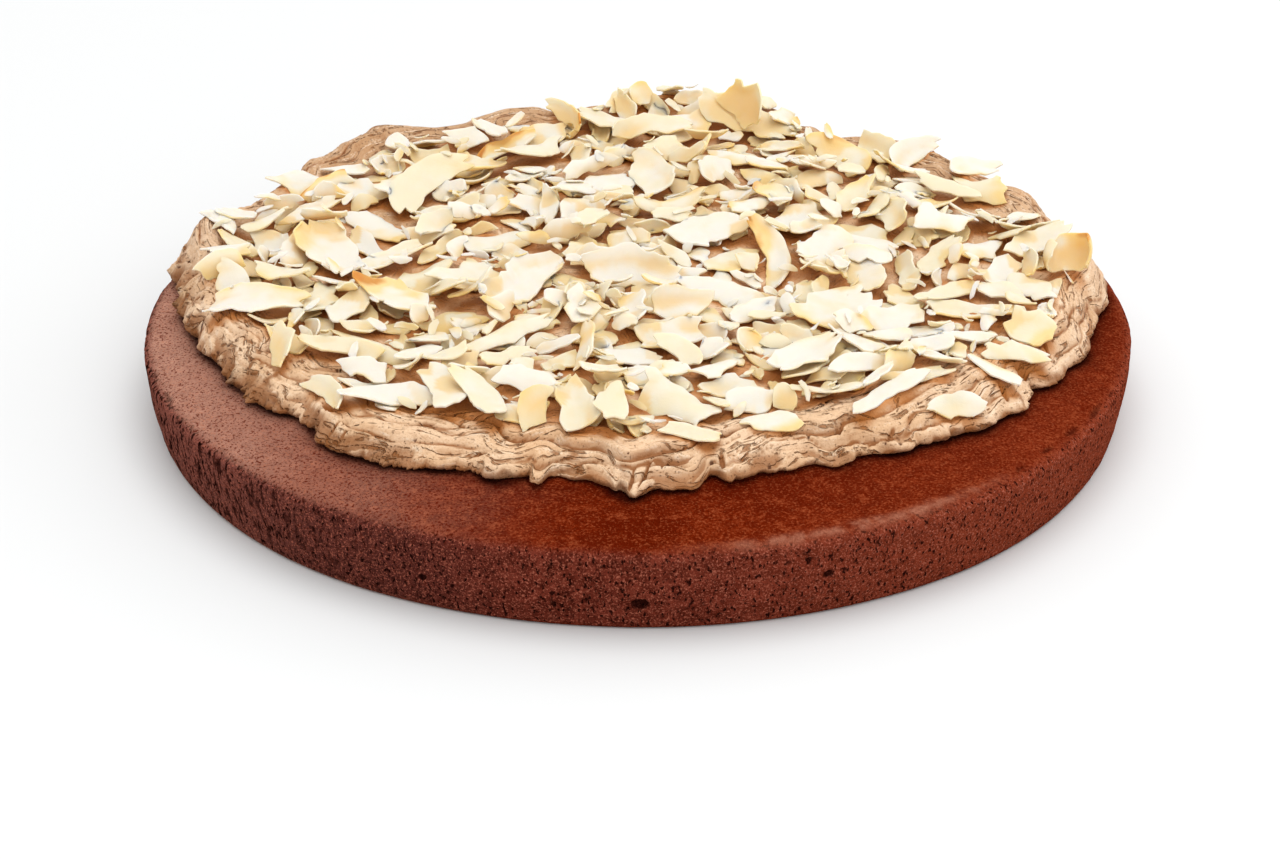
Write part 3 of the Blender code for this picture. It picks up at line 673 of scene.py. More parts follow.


# Height added to the spread top. Folds, streaks and drags are the size of a noise that is long round
# the cake and short across it, so they meet in sharp creases; leaves overlap like shingles where
# they are loose; cavities open near the foot; lumps and pits lie everywhere, more where it is rough.
# crease is where painted shade darkens the colour: in creases, between leaves, in cavities, near the foot
# and at knife marks.
def frostingRelief(turn, inward, radius):
    x, y = radius * np.cos(turn), radius * np.sin(turn)
    spot = np.stack([x, y, 0 * x], axis=-1)
    rim = smooth(24, 12, inward)
    flow = inward + 2.4 * noise(spot / 12, 21) + 0.8 * noise(spot / 4.5, 22)
    ringX, ringY = 114 * np.cos(turn), 114 * np.sin(turn)

    def drawn(name, seed):
        along, across = frosting["drawnOut"][name]
        return noise(np.stack([ringX / along, ringY / along, flow / across], axis=-1), seed)

    folds, streaks = np.abs(drawn("folds", 23)), np.abs(drawn("streaks", 24))
    drags = np.abs(drawn("drags", 30))
    crease = 0.95 * bell(folds, 0.04) + 0.3 * bell(streaks, 0.07) + 0.15 * bell(drags, 0.12)
    relief = frosting["foldDepth"] * rim * (folds - 0.35) + frosting["streakDepth"] * rim * (streaks - 0.35)
    relief -= frosting["dragDepth"] * (0.3 + 0.7 * rim) * bell(drags, 0.15)

    wild = 0.35 + 0.65 * smooth(-0.3, 0.5, np.cos(turn - math.radians(frosting["wildest"])))
    leaves = flow / 2.6 + 1.3 * drawn("leaves", 40)
    acrossLeaf = leaves - np.floor(leaves)
    loose = wild * rim * smooth(0.0, 0.45, drawn("loose", 46))
    relief += frosting["leafDepth"] * loose * (0.5 - acrossLeaf)
    crease = np.maximum(crease, 0.9 * loose * bell(1 - acrossLeaf, 0.13))
    cavity = wild * smooth(6.0, 1.5, inward) * smooth(-0.28, 0.05, drawn("cavities", 49))
    relief -= frosting["cavityDepth"] * cavity
    crease = np.maximum(crease, 0.95 * cavity)

    leftShare = smooth(-70, -112, x)
    outward = np.clip(inward, 0, None)
    foot = np.exp(-outward / (1.2 + 1.0 * leftShare))
    # painted shade on the lower face near the foot, broader to the left
    crease = np.maximum(crease, 0.9 * foot * (0.9 + 0.7 * noise(spot / 3, 48)))
    relief += frosting["tornDepth"] * wild * np.exp(-outward / 2.2) * (np.abs(drawn("torn", 31)) - 0.35)
    steepest, halfWidth = frosting["steepest"]
    steep = bell(turnGap(turn, steepest), math.radians(halfWidth))
    shoulder = frosting["shoulder"] * (0.6 + 0.5 * drawn("uneven", 32)) * (1 + 3.0 * steep)
    relief += shoulder * smooth(0.0, 1.3, inward) * bell(inward, 6)

    relief += frosting["lumpDepth"] * layeredNoise(spot / 6, 2, 25) * (0.4 + 0.6 * rim)
    sweep = np.abs(noise(np.stack([x / 34, y / 30, flow / 6], axis=-1), 26))
    relief += 0.6 * (sweep - 0.35) * (1 - rim)
    rough = leftShare * smooth(14, 6, inward)
    relief += 0.45 * rough * layeredNoise(spot / 2.4, 2, 27)
    pits = hollows(x / 3.6, y / 3.6, 10**6, 0.13, 28, 0.09, 0.2)
    roughPits = hollows(x / 2.3, y / 2.3, 10**6, 0.45, 29, 0.16, 0.36) * rough
    relief -= frosting["pitDepth"] * pits**0.6 + frosting["roughPitDepth"] * roughPits**0.6
    marks, shade = knifeMarks(turn, inward, radius, spot)
    crease = np.clip(np.maximum(crease * rim * 0.8, shade), 0, 1.3)
    streakPlace = np.stack([ringX / 8, ringY / 8, flow], axis=-1)
    return relief + marks, crease, np.maximum(pits, roughPits), rim, streakPlace


# Height of the top with its relief, for chips to lie on.
def frostingSurface(x, y):
    radius, turn = np.hypot(x, y), np.arctan2(y, x)
    inward = edgeRadius(turn) - radius
    return frostingTop(x, y) + frostingRelief(turn, inward, radius)[0] * (inward > 0)


# Raggedness of the very edge: how far it reaches out and up beyond the smooth outline. Layered noise
# tears it, the sharp peaks of finer noise give it teeth, both more to the left, and then come the nibs.
def edgeTear(turn):
    ring = ringPoints(turn, 1, 0)
    out = frosting["tear"] * layeredNoise(ring * 22, 4, 33) * (1.3 - 0.5 * np.cos(turn))
    patches = smooth(-0.3, 0.5, noise(ring * 9, 36)) * (1.25 - 0.55 * np.cos(turn))
    for pitch, share, seed in ((50, 1.0, 37), (115, 0.6, 39)):
        out = out + frosting["teeth"] * share * patches * (1 - np.abs(noise(ring * pitch, seed))) ** 5
    for at, width, reach in frosting["nibs"]:
        out = out + reach * np.exp(-((turnGap(turn, at) / math.radians(width)) ** 4))
    up = 0.9 * layeredNoise(ring * 10, 3, 35)
    return out, up


# The number of a map with one for each millimetre, blended between the four around a place.
def readMap(values, x, y):
    middle = values.shape[0] // 2
    x, y = np.clip(x + middle, 0, 2 * middle - 1.001), np.clip(y + middle, 0, 2 * middle - 1.001)
    i, j = x.astype(int), y.astype(int)
    s, t = x - i, y - j
    near = values[i, j] * (1 - s) + values[i + 1, j] * s
    far = values[i, j + 1] * (1 - s) + values[i + 1, j + 1] * s
    return near * (1 - t) + far * t


# One row of points, and what the material reads there: the height rule plus its share of the relief,
# moved out and up by the raggedness, which fades away from the edge.
def frostingRing(turn, inward, radius, heightRule, reliefShare):
    x, y = radius * np.cos(turn), radius * np.sin(turn)
    height = heightRule(x, y)
    relief, crease, pits, rim, streakPlace = frostingRelief(turn, inward, radius)
    tearOut, tearUp = edgeTear(turn)
    near = np.exp(-np.clip(inward, 0, None) / 3.0)
    rough = layeredNoise(np.stack([x, y, height], axis=-1) / 1.5, 2, 38)
    out = radius + (tearOut + frosting["roughness"] * rough * reliefShare) * near
    up = height + relief * reliefShare * (1 - 0.45 * near) + tearUp * near * reliefShare
    place = ringPoints(turn, out, up)
    # painted shade over the tucked lip's underside
    crease = crease * reliefShare + 0.8 * (1 - reliefShare)
    return place, crease, pits * reliefShare, rim * reliefShare, streakPlace


# Rows from the middle of the underside, round the tucked lip, over the rim and in to the middle.
def buildFrosting(material, shadow):
    rows = []
    many, some, few = frosting["segments"], frosting["segments"] // 2, frosting["segments"] // 4

    def addRow(count, inward, share, rule, reliefShare):
        turn = np.linspace(0, fullTurn, count, endpoint=False)
        radius = share * edgeRadius(turn) - inward
        rows.append(frostingRing(turn, edgeRadius(turn) - radius, radius, rule, reliefShare))

    for share, count in zip(frosting["undersideShares"], (few, few, some)):
        addRow(count, 0, share, frostingBase, 0)
    addRow(many, 5.0, 1, frostingBase, 0)
    addRow(many, frosting["lipTuck"] + 1, 1, frostingBase, 0)
    for bend in np.linspace(0, math.pi / 2, frosting["tuckRows"] + 1)[:-1]:
        out, up = math.sin(bend), 1 - math.cos(bend)

        def tuckHeight(x, y, up=up):
            return frostingBase(x, y) + (lipMiddle(x, y) - frostingBase(x, y)) * up

        addRow(many, frosting["lipTuck"] * (1 - out), 1, tuckHeight, up)
    for inward in np.arange(0, frosting["rimReach"], frosting["rimRow"]):
        addRow(many, inward, 1, frostingTop, 1)
    middleStart = 1 - frosting["rimReach"] / frosting["edgeRadius"]
    for share in np.arange(middleStart, frosting["innerReach"], -frosting["middleRow"]):
        addRow(some, 0, share, frostingTop, 1)
    for share in np.arange(frosting["innerReach"], frosting["innerRow"], -frosting["innerRow"]):
        addRow(few, 0, share, frostingTop, 1)
    low, high = float(frostingBase(0.0, 0.0)), float(frostingTop(0.0, 0.0))
    rings = [np.array([[0, 0, low]]), *(row[0] for row in rows), np.array([[0, 0, high]])]
    points, faces = closedSkin(rings)
    ends = np.zeros(1)
    values = {
        key: np.concatenate([ends, *(row[1 + k] for row in rows), ends])
        for k, key in enumerate(("crease", "pit", "rim"))
    }
    values["shadow"] = readMap(shadow, points[:, 0], points[:, 1])
    values["streak"] = np.concatenate([np.zeros((1, 3)), *(row[4] for row in rows), np.zeros((1, 3))])
    return newPiece("butterCream", points, faces, material, values)


# Light brown in broad patches, with fine lines and cracks drawn out along the edge. Painted light on
# it: the back darker, painted shade in the lines, cracks, grain, creases, bubbles and pits, painted
# highlights on crests, and a painted warm shadow between chips.
def frostingFinish():
    s = Sheet("butterCream", Specular_IOR_Level=0.2)
    crease, pit, rim = s.attribute("crease"), s.attribute("pit"), s.attribute("rim")
    behind = s.between(s.node("SeparateXYZ", None, {0: s.place()}, 1), -0.02, 0.085)
    streak = s.attribute("streak", 1)
    fine, mottle, broad = s.grain(0.45, 3, 0.6), s.grain(2.4, 3, 0.6), s.grain(16.0, 2, 0.5)
    lines = s.grain(0.9, 2, 0.55, over=streak)
    ribbons = s.grain(2.2, 2, 0.5, over=streak)
    gritty = s.grain(0.55, 2, 0.6)
    # painted shade in the grooves of the drawn lines
    groove = s.between(lines, 0.44, 0.34) * (0.35 + rim * 0.65)
    # painted shade in cracks
    crack = s.between(s.maths("ABSOLUTE", ribbons - 0.5, 0.0), 0.030, 0.006) * (0.3 + rim * 0.7)
    crack = crack * s.between(mottle, 0.42, 0.56)
    bubbles = s.between(s.grain(0.8, 1, 0.4), 0.31, 0.26)
    colour = s.blend(s.between(broad, 0.3, 0.7), frosting["colour"], frosting["pale"])
    # painted shade: the back made darker
    colour = s.blend(behind, colour, frosting["paintedBackShade"], "MULTIPLY")
    colour = s.tinted(frosting, colour, (
        (s.between(mottle, 0.5, 0.75) * 0.25, "shadeAndDarkTone"),
        # painted shade in grooves
        (groove * 0.15, "shadeAndDarkTone"),
        # painted highlight on crests
        (s.between(lines * 0.7 + gritty * 0.3, 0.53, 0.66) * 0.5, "crestHighlight"),
        # painted shade in the grain, creases and cracks
        (s.between(gritty, 0.44, 0.32) * 0.3, "shadeAndDarkTone"),
        (s.between(crease, 0.15, 0.95) * 0.9, "shadeAndDarkTone"),
        (crack * 0.75, "shadeAndDarkTone"),
        # painted shade in bubbles and pits
        (bubbles * 0.35, "bubbleShade"),
        (s.between(pit, 0.1, 0.7) * 0.9, "hole"),
        (s.between(s.attribute("shadow"), 0.35, 0.95) * 0.9, "shaded"),
    ))
    small = s.bump(fine * 0.45 + gritty * 0.5 - bubbles - crack * 1.8, 0.45, 0.9)
    drawn = s.bump(lines * 0.9 + ribbons * 1.6, 0.40, 0.7, small)
    return s.finish(Base_Color=colour, Roughness=0.5 + (mottle - 0.5) * 0.3, Normal=drawn)


# Coconut chips
chips = {
    "thickness": 0.8,
    "sink": 0.25,
    "press": 0.25,
    "steepest": 34.0,
    "placed": (  # x, y, turn, length, width, arc, curl, lean: the lowest in the pile first
        (-94, 49, 15, 14, 12, 10, 15, 0), (-82, 57, 18, 11, 8, 10, 20, 0),
        (-59, 69, 20, 12, 11, 10, 20, 0), (-28, 85, 23, 14, 10, 10, 10, 0),
        (-9, 91, -28, 19, 8, 10, 20, 5), (18, 101, 35, 15, 8, 10, 20, 10),
        (14, 89, 40, 18, 11, 10, 20, 0), (68, 75, -50, 13, 10, 10, 20, 10),
        (96, 47, -23, 13, 12, 10, 20, 0), (-76, 46, 45, 13, 10, 20, 20, 0),
        (-67, 48, 65, 17, 9, 10, 20, 0), (-44, 62, 39, 12, 7, 20, 20, 10),
        (-31, 71, 42, 22, 9, 20, 30, 5), (-9, 51, 45, 17, 10, 20, 20, 0),
        (28, 67, -10, 15, 7, 10, 20, 0), (50, 52, 40, 15, 6, 80, 30, 15),
        (60, 43, 60, 18, 8, 10, 30, 10), (81, 39, 45, 12, 8, 10, 30, 0), (82, 21, 2, 15, 12, 10, 20, 0),
        (59, 21, -7, 18, 11, 30, 30, 5), (42, 26, 40, 19, 12, 20, 30, 0),
        (19, 18, 34, 21, 11, 20, 30, 0), (-38, 16, 20, 19, 10, 30, 20, 0),
        (-30, 36, -20, 11, 9, 10, 20, 0), (-49, 33, 34, 14, 13, 20, 40, 5),
        (-69, 25, -42, 21, 10, 20, 30, 0), (-73, 14, -60, 18, 8, 20, 30, 0),
        (-98, 12, 5, 9, 11, 10, 0, 0), (-104, -3, 34, 9, 9, 10, 10, 0),
        (-93, -10, -10, 15, 8, 10, 40, 0), (-56, -7, 26, 14, 13, 20, 30, 0),
        (-45, -9, 30, 17, 12, 20, 20, 0), (25, 4, 60, 18, 9, 20, 20, 0), (91, 9, 15, 11, 10, 10, 20, 0),
        (95, -6, 50, 14, 8, 20, 20, 0), (102, -16, -59, 14, 9, 10, 20, 0),
        (68, -19, -60, 14, 8, 20, 20, 0), (87, -28, 0, 24, 10, 20, 20, 0),
        (51, -27, 46, 22, 15, 20, 20, 0), (22, -16, -27, 24, 9, 30, 20, 0),
        (-82, -23, 80, 17, 9, 10, 20, 0), (-74, -30, 50, 14, 9, 20, 20, 0),
        (-48, -31, 26, 15, 8, 20, 20, 5), (-27, -69, -20, 16, 7, 20, 20, 0),
        (-19, -53, 50, 12, 8, 20, 20, 0), (-2, -52, 9, 14, 8, 20, 20, 0),
        (8, -41, 20, 17, 10, 20, 20, 0), (22, -67, 28, 12, 9, 20, 20, 0),
        (27, -74, 0, 12, 8, 20, 20, 0), (41, -60, 35, 14, 9, 20, 20, 0),
        (65, -32, 22, 16, 10, 20, 30, 0), (73, -48, -21, 12, 8, 20, 20, 0),
        (68, -64, 14, 17, 8, 20, 20, 0), (-90, 30, 48, 20, 6, 20, 20, 5),
        (-87, 45, 50, 17, 5, 40, 20, 25), (-38, 78, 35, 20, 6, 20, 20, 15),
        (48, 76, -75, 16, 6, 10, 30, 20), (39, 50, -50, 27, 5, 30, 30, 10),
        (18, 69, -100, 17, 5, 10, 10, 25), (86, 47, -35, 20, 6, 10, 20, 5),
        (30, 33, 46, 16, 6, 20, 20, 0), (-25, 33, -85, 20, 5, 10, 20, 30),
        (-53, 11, 60, 20, 5, 10, 20, 15), (-65, 4, 36, 20, 7, 30, 20, 5),
        (-91, 7, 75, 22, 7, 10, 20, 15), (-107, 9, -45, 16, 5, 10, 20, 10),
        (70, 27, -75, 19, 8, 10, 20, 5), (80, 5, 60, 22, 7, 50, 30, 5),
        (71, -4, -90, 22, 6, 10, 10, 10), (80, -19, 33, 19, 8, 20, 20, 5),
        (-66, -49, -43, 27, 5, 20, 20, 5), (-33, -42, 40, 25, 6, 20, 20, 10),
        (-33, -53, 42, 16, 6, 20, 20, 5), (-89, -41, -60, 17, 7, 20, 20, 5),
        (60, -74, 43, 24, 6, 20, 20, 5), (32, -85, 11, 12, 6, 20, 10, 0),
        (88, -57, -24, 14, 6, 10, 20, 0), (99, -37, -22, 12, 11, 10, 20, 0),
        (29, -27, 35, 14, 6, 20, 20, 0), (19, -61, 50, 13, 7, 20, 30, 5),
        (62, 12, -24, 14, 8, 20, 20, 0), (-20, 90, -60, 20, 6, 20, 40, 40),
        (3, 85, 20, 24, 7, 60, 40, 15), (31, 92, -25, 28, 10, 20, 25, 28),
        (31, 91, -58, 16, 12, 20, 30, 62), (-17, 67, -90, 18, 7, 20, 50, 30),
        (4, 56, -60, 19, 11, 30, 40, 10), (8, 34, 20, 22, 8, 40, 90, 15),
        (58, 68, -40, 21, 10, 110, 70, 20), (78, 70, 40, 18, 8, 90, 50, 12),
        (95, 62, 30, 17, 8, 20, 20, 14), (106, 9, 40, 19, 9, 20, 30, 15),
        (112, -2, 8, 25, 9, 10, 235, 50), (-59, 48, 60, 34, 10, 85, 30, 10),
        (-16, 33, 60, 21, 8, 30, 50, 15), (-83, 5, -65, 26, 13, 20, 45, 8),
        (-31, -12, 58, 32, 13, 20, 30, 12), (-2, -5, 0, 25, 13, 10, 35, 30),
        (35, 5, -80, 33, 7, 60, 40, 20), (49, 8, 60, 21, 10, 20, 30, 20),
        (60, -6, -80, 20, 10, 20, 30, 15), (-62, -24, -60, 20, 13, 25, 35, 12),
        (-99, -25, -8, 24, 11, 15, -20, 8), (-89, -49, -80, 16, 8, 10, 20, 45),
        (-75, -49, -20, 23, 6, 30, 20, 10), (-76, -68, -60, 19, 6, 60, 30, 20),
        (-60, -72, 3, 24, 7, 30, 25, 10), (-48, -72, -70, 20, 9, 60, 40, 15),
        (-39, -76, -60, 21, 9, 70, 40, 10), (-13, -51, -95, 24, 7, 10, 30, 30),
        (-1, -30, -90, 16, 7, 10, 20, 35), (10, -26, 5, 14, 9, 30, 30, 25),
        (10, -52, -50, 16, 6, 90, 30, 20), (41, -55, 45, 23, 12, 20, 30, 12),
        (54, -60, 22, 17, 6, 70, 20, 5), (-15, -80, -70, 18, 10, 20, 20, 12),
        (-6, -84, -85, 15, 8, 10, 30, 30), (9, -77, -40, 20, 11, 20, 35, 10),
        (12, -90, -20, 14, 6, 20, 20, 5), (77, -72, 20, 15, 7, 20, 20, 3),
        (94, -48, 10, 18, 6, 20, 20, 5),
    ),
    "placedSmall": (
        (-50, 81, 5, 10, 8, 10, 10, 0), (-101, 20, 28, 13, 5, 10, 20, 10),
        (-43, 84, -55, 14, 5, 10, 20, 10), (90, 31, -60, 14, 5, 20, 20, 0),
        (-55, -54, 50, 13, 6, 20, 20, 0), (54, -47, -50, 16, 5, 10, 20, 5),
        (-9, -67, 37, 13, 6, 20, 30, 5), (100, 16, -60, 13, 6, 10, 20, 5),
    ),
    "seed": 11,
    "cup": (-0.09, 0.17),
    "twist": 0.25,
    "skew": 0.7,
    "endShare": (0.15, 0.5),
    "endBreadth": 0.6,
    "bluntestEnd": 0.9,
    "margin": (  # turn, width of the bare strip along the edge
        (0, 8), (20, 16), (45, 20), (65, 8), (90, 8), (105, 19), (130, 24), (150, 19), (180, 10), (215, 14),
        (250, 16), (270, 17), (300, 18), (335, 12), (360, 8),
    ),
    "bare": (  # x, y, radius of spots without small chips
        (-29, 70, 9), (-11, 40, 6), (27, 62, 7), (47, -30, 6), (94, 45, 10), (-78, -58, 7),
    ),
    "clear": 0.2,  # height above the frosting from which the ground counts as covered
    "overlap": -0.2,  # how far a chip slid under a placed one may reach into it
    "firstTries": 90,  # how many of the under chips lie before the placed ones
    "under": {"tries": 900, "length": (7.0, 13.0), "width": (4.0, 7.5), "seed": 7},
    "small": {"tries": 2600, "length": (6.0, 16.0), "width": (3.2, 8.5), "seed": 5},
    "slivers": {"tries": 1500, "length": (2.5, 7.0), "width": (1.0, 2.6), "seed": 6},
    "placedSteps": (36, 14),  # points along and across a chip that feel the ground
    "smallSteps": (10, 5),
    "sliverSteps": (5, 3),
    "firstCovered": 0.3,  # the most of a chip that may lie on others
    "underCovered": 0.5,
    "smallCovered": 0.42,
    "sliverCovered": 0.7,
    "made": {  # faces along and across, how ragged the outline is, and the seed of its breaks
        "largeChips": (32, 10, 0.33, 1), "smallChips": (12, 4, 0.40, 3), "slivers": (4, 2, 0.3, 4),
    },
    "toasted": (  # x, y, how much, which tip, which side
        (-83, 5, 0.55, -0.6, -0.6), (-62, -24, 0.95, -1, -0.2), (-99, -25, 0.3, 0, 1),
        (35, 5, 0.75, -0.6, -0.6), (112, -2, 0.8, 0.6, 0.6), (58, 68, 0.7, 0, 1), (8, 34, 0.75, 0.3, 1),
        (60, 43, 0.5, 0.5, 0.5),
        (-20, 90, 1.1, 0.8, 0.4), (-38, 78, 1.2, 0, 1), (-87, 45, 0.8, 0, 1), (39, 50, 0.5, -1, 0),
        (81, 39, 0.8, 0.5, 0.5), (-48, -31, 0.6, 0, -1), (30, 33, 0.7, 0, 1), (-13, -51, 0.5, -1, 0),
    ),
    "white": (0.714, 0.665, 0.582),
    "cream": (0.700, 0.616, 0.452),
    "gold": (0.745, 0.545, 0.270),
    # painted warm shade in nooks below the chips around
    "nookShade": (0.720, 0.480, 0.180),
    "brown": (0.520, 0.230, 0.050),
}
chipNames = ("x", "y", "turn", "length", "width", "arc", "curl", "lean")


# The placed chips with their small bends: cupped, twisted, cut askew, and blunter where broader.
def describePlaced():
    draw = np.random.default_rng(chips["seed"])
    batch = [dict(zip(chipNames, row)) for row in (*chips["placed"], *chips["placedSmall"])]
    for chip in batch:
        chip["cup"] = draw.uniform(*chips["cup"])
        chip["twist"] = draw.uniform(-chips["twist"], chips["twist"])
        blunt = draw.uniform(*chips["endShare"]) + chips["endBreadth"] * chip["width"] / chip["length"]
        chip["ends"] = min(chips["bluntestEnd"], blunt)
        chip["skew"] = draw.uniform(-chips["skew"], chips["skew"])
    return batch


# Smaller chips by chance, evenly over the ground inside the bare strip along the edge.
def describeSmall(kind):
    draw = np.random.default_rng(kind["seed"])
    at, bare = zip(*chips["margin"])
    batch = []
    for _ in range(kind["tries"]):
        turn = draw.uniform(0, fullTurn)
        reach = edgeRadius(turn) - np.interp(math.degrees(turn), at, bare)
        radius = reach * math.sqrt(draw.uniform())
        x, y = radius * math.cos(turn), radius * math.sin(turn)
        if any(math.hypot(x - bx, y - by) < wide for bx, by, wide in chips["bare"]):
            continue
        long, broad = draw.uniform(*kind["length"]), draw.uniform(*kind["width"])
        bends = (draw.uniform(0, 60), draw.uniform(-10, 60), draw.uniform(-15, 38))
        chip = dict(zip(chipNames, (x, y, draw.uniform(-90, 90), long, min(broad, 0.8 * long), *bends)))
        chip["cup"], chip["twist"] = draw.uniform(*chips["cup"]), draw.uniform(-0.3, 0.3)
        chip["ends"], chip["skew"] = draw.uniform(0.05, 0.75), draw.uniform(-0.9, 0.9)
        batch.append(chip)
    return batch


# A broken line from -1 to 1: a number by chance at each whole place, and straight lines between.
def brokenLine(at, number, side, seed):
    cell = np.floor(at).astype(np.int64)
    before, after = hashed(cell, number, side, seed), hashed(cell + 1, number, side, seed)
    return 2 * (before + (after - before) * (at - cell)) - 1


# Middle surface of chips that lie flat: a strip round an arc, narrowed to its ends and cut askew
# there, cupped across, twisted, and curled along its length. ragged breaks the outline.
def chipSurface(batch, alongSteps, acrossSteps, ragged=0.0, seed=0):
    keys = (*chipNames, "cup", "twist", "ends", "skew")
    get = {key: np.array([float(chip[key]) for chip in batch])[:, None, None] for key in keys}
    along = np.linspace(-0.5, 0.5, alongSteps + 1)[None, :, None]
    across = np.linspace(-1, 1, acrossSteps + 1)[None, None, :]
    number = np.arange(len(batch))[:, None, None] + seed * 1000
    full = 1 - np.abs(2 * along) ** (1.5 + 3 * hashed(number, 0, 0, 44))
    half = 0.5 * get["width"] * (get["ends"] + (1 - get["ends"]) * full)
    reach = 1.0
    if ragged:
        pitch = 1.8 + 0.12 * get["length"]
        side, end = np.sign(across).astype(np.int64) + 1, np.sign(along).astype(np.int64) + 1
        broken = brokenLine(along * get["length"] / pitch + 9, number, side, 41)
        nicks = brokenLine(along * get["length"] / 2.0 + 9, number, side, 42)
        half = half * (1 + ragged * (broken + 0.3 * nicks) * np.clip(1.4 - get["arc"] / 90, 0.3, 1))
        reach = 1 + 0.45 * ragged * brokenLine(across * get["width"] / 5 + 9, number, end, 43)
    arc = np.radians(np.maximum(get["arc"], 1))
    radius = get["length"] / arc
    angle = along * reach * arc + get["skew"] * across * half / radius * np.abs(2 * along)
    x = (radius + across * half) * np.sin(angle)
    y = (radius + across * half) * np.cos(angle) - radius * (0.5 + 0.5 * np.cos(arc / 2))
    z = get["cup"] * get["width"] * across**2 + get["twist"] * x * across * half / get["width"]
    if ragged:
        at = np.stack(np.broadcast_arrays(x / 6.0, y / 6.0, number * 3.7), axis=-1)
        z = z + 1.4 * ragged * noise(at, 45)
    curl = np.radians(np.where(get["curl"] == 0, 1, get["curl"])) / get["length"]
    curledUp = (1 - np.cos(curl * x)) / curl + z * np.cos(curl * x)
    curledAlong = np.sin(curl * x) / curl - z * np.sin(curl * x)
    return np.stack(np.broadcast_arrays(curledAlong, y + 0 * x, curledUp), axis=-1)


# The matrix that turns by an angle about an axis, by the right-hand rule.
def turning(axis, angle):
    x, y, z = axis
    cross = np.array([[0, -z, y], [z, 0, -x], [-y, x, 0]])
    return np.eye(3) + math.sin(angle) * cross + (1 - math.cos(angle)) * cross @ cross


# Normal of the plane that the highest ground under a chip gives it to lie on.
def restSlope(points, ground):
    x, y = points[:, 0], points[:, 1]
    weight = np.sqrt(np.exp((ground - ground.max()) / 1.5))
    sides = np.stack([np.ones_like(x), x, y], axis=1) * weight[:, None]
    _, slopeX, slopeY = np.linalg.lstsq(sides, ground * weight, rcond=None)[0]
    steep = math.hypot(slopeX, slopeY)
    kept = min(1, math.tan(math.radians(chips["steepest"])) / max(steep, 1e-6))
    normal = np.array([-slopeX * kept, -slopeY * kept, 1.0])
    return normal / np.linalg.norm(normal)


# Gives each chip the pose in which it lies on the frosting and on the chips before it: turned,
# leaned, laid on the slope under it, and lowered until it sinks in a little. Chips that would lie
# more than a share on others, or touch the ceiling, are left out. heights grows by what is kept,
# and undersides is the lowest face of what is kept; bareHeights is the frosting alone.
def settleChips(batch, heights, steps, mostCovered=1.0, ceiling=None, undersides=None):
    middle = heights.shape[0] // 2
    upright = np.array([0.0, 0.0, 1.0])
    kept = []

    def cells(points):
        return tuple(np.clip(np.rint(points[:, :2]).astype(int) + middle, 0, 2 * middle).T)

    for chip in batch:
        place = np.array([chip["x"], chip["y"], 0.0])
        turn, lean = math.radians(chip["turn"]), math.radians(chip["lean"])
        ahead = np.array([math.cos(turn), math.sin(turn), 0.0])
        flat = chipSurface([chip], *steps).reshape(-1, 3) @ turning(upright, turn).T
        under = cells(flat + place)
        if np.mean(heights[under] > bareHeights[under] + chips["clear"]) > mostCovered:
            continue
        normal = restSlope(flat, heights[under])
        axis = np.cross(upright, normal)
        tilt = math.asin(min(1, np.linalg.norm(axis)))
        axis = axis / max(np.linalg.norm(axis), 1e-9)
        pose = turning(axis, tilt) @ turning(ahead, lean)
        laid = flat @ pose.T
        under = cells(laid + place)
        place[2] = (heights[under] - laid[:, 2]).max() + chips["thickness"] / 2 - chips["sink"]
        chip["pose"], chip["place"] = pose @ turning(upright, turn), place
        upper = laid[:, 2] + place[2] + chips["thickness"] / 2
        if ceiling is not None and np.any(upper > ceiling[under]):
            continue
        np.maximum.at(heights, under, upper)
        if undersides is not None:
            np.minimum.at(undersides, under, upper - chips["thickness"])
        kept.append(chip)
    return kept


# Corner numbers of a closed thin sheet with rows by columns of points on each face: both faces,
# then a strip round the rim.
def sheetFaces(rows, columns):
    i, j = np.meshgrid(np.arange(rows - 1), np.arange(columns - 1), indexing="ij")
    a = (i * columns + j).ravel()
    over = np.stack([a, a + columns, a + columns + 1, a + 1], axis=1)
    under = over[:, ::-1] + rows * columns
    rim = np.concatenate([
        np.arange(rows) * columns,
        (rows - 1) * columns + np.arange(1, columns),
        np.arange(rows - 2, -1, -1) * columns + columns - 1,
        np.arange(columns - 2, 0, -1),
    ])
    following = np.roll(rim, -1)
    strip = np.stack([following, rim, rim + rows * columns, following + rows * columns], axis=1)
    return np.concatenate([over, under, strip])
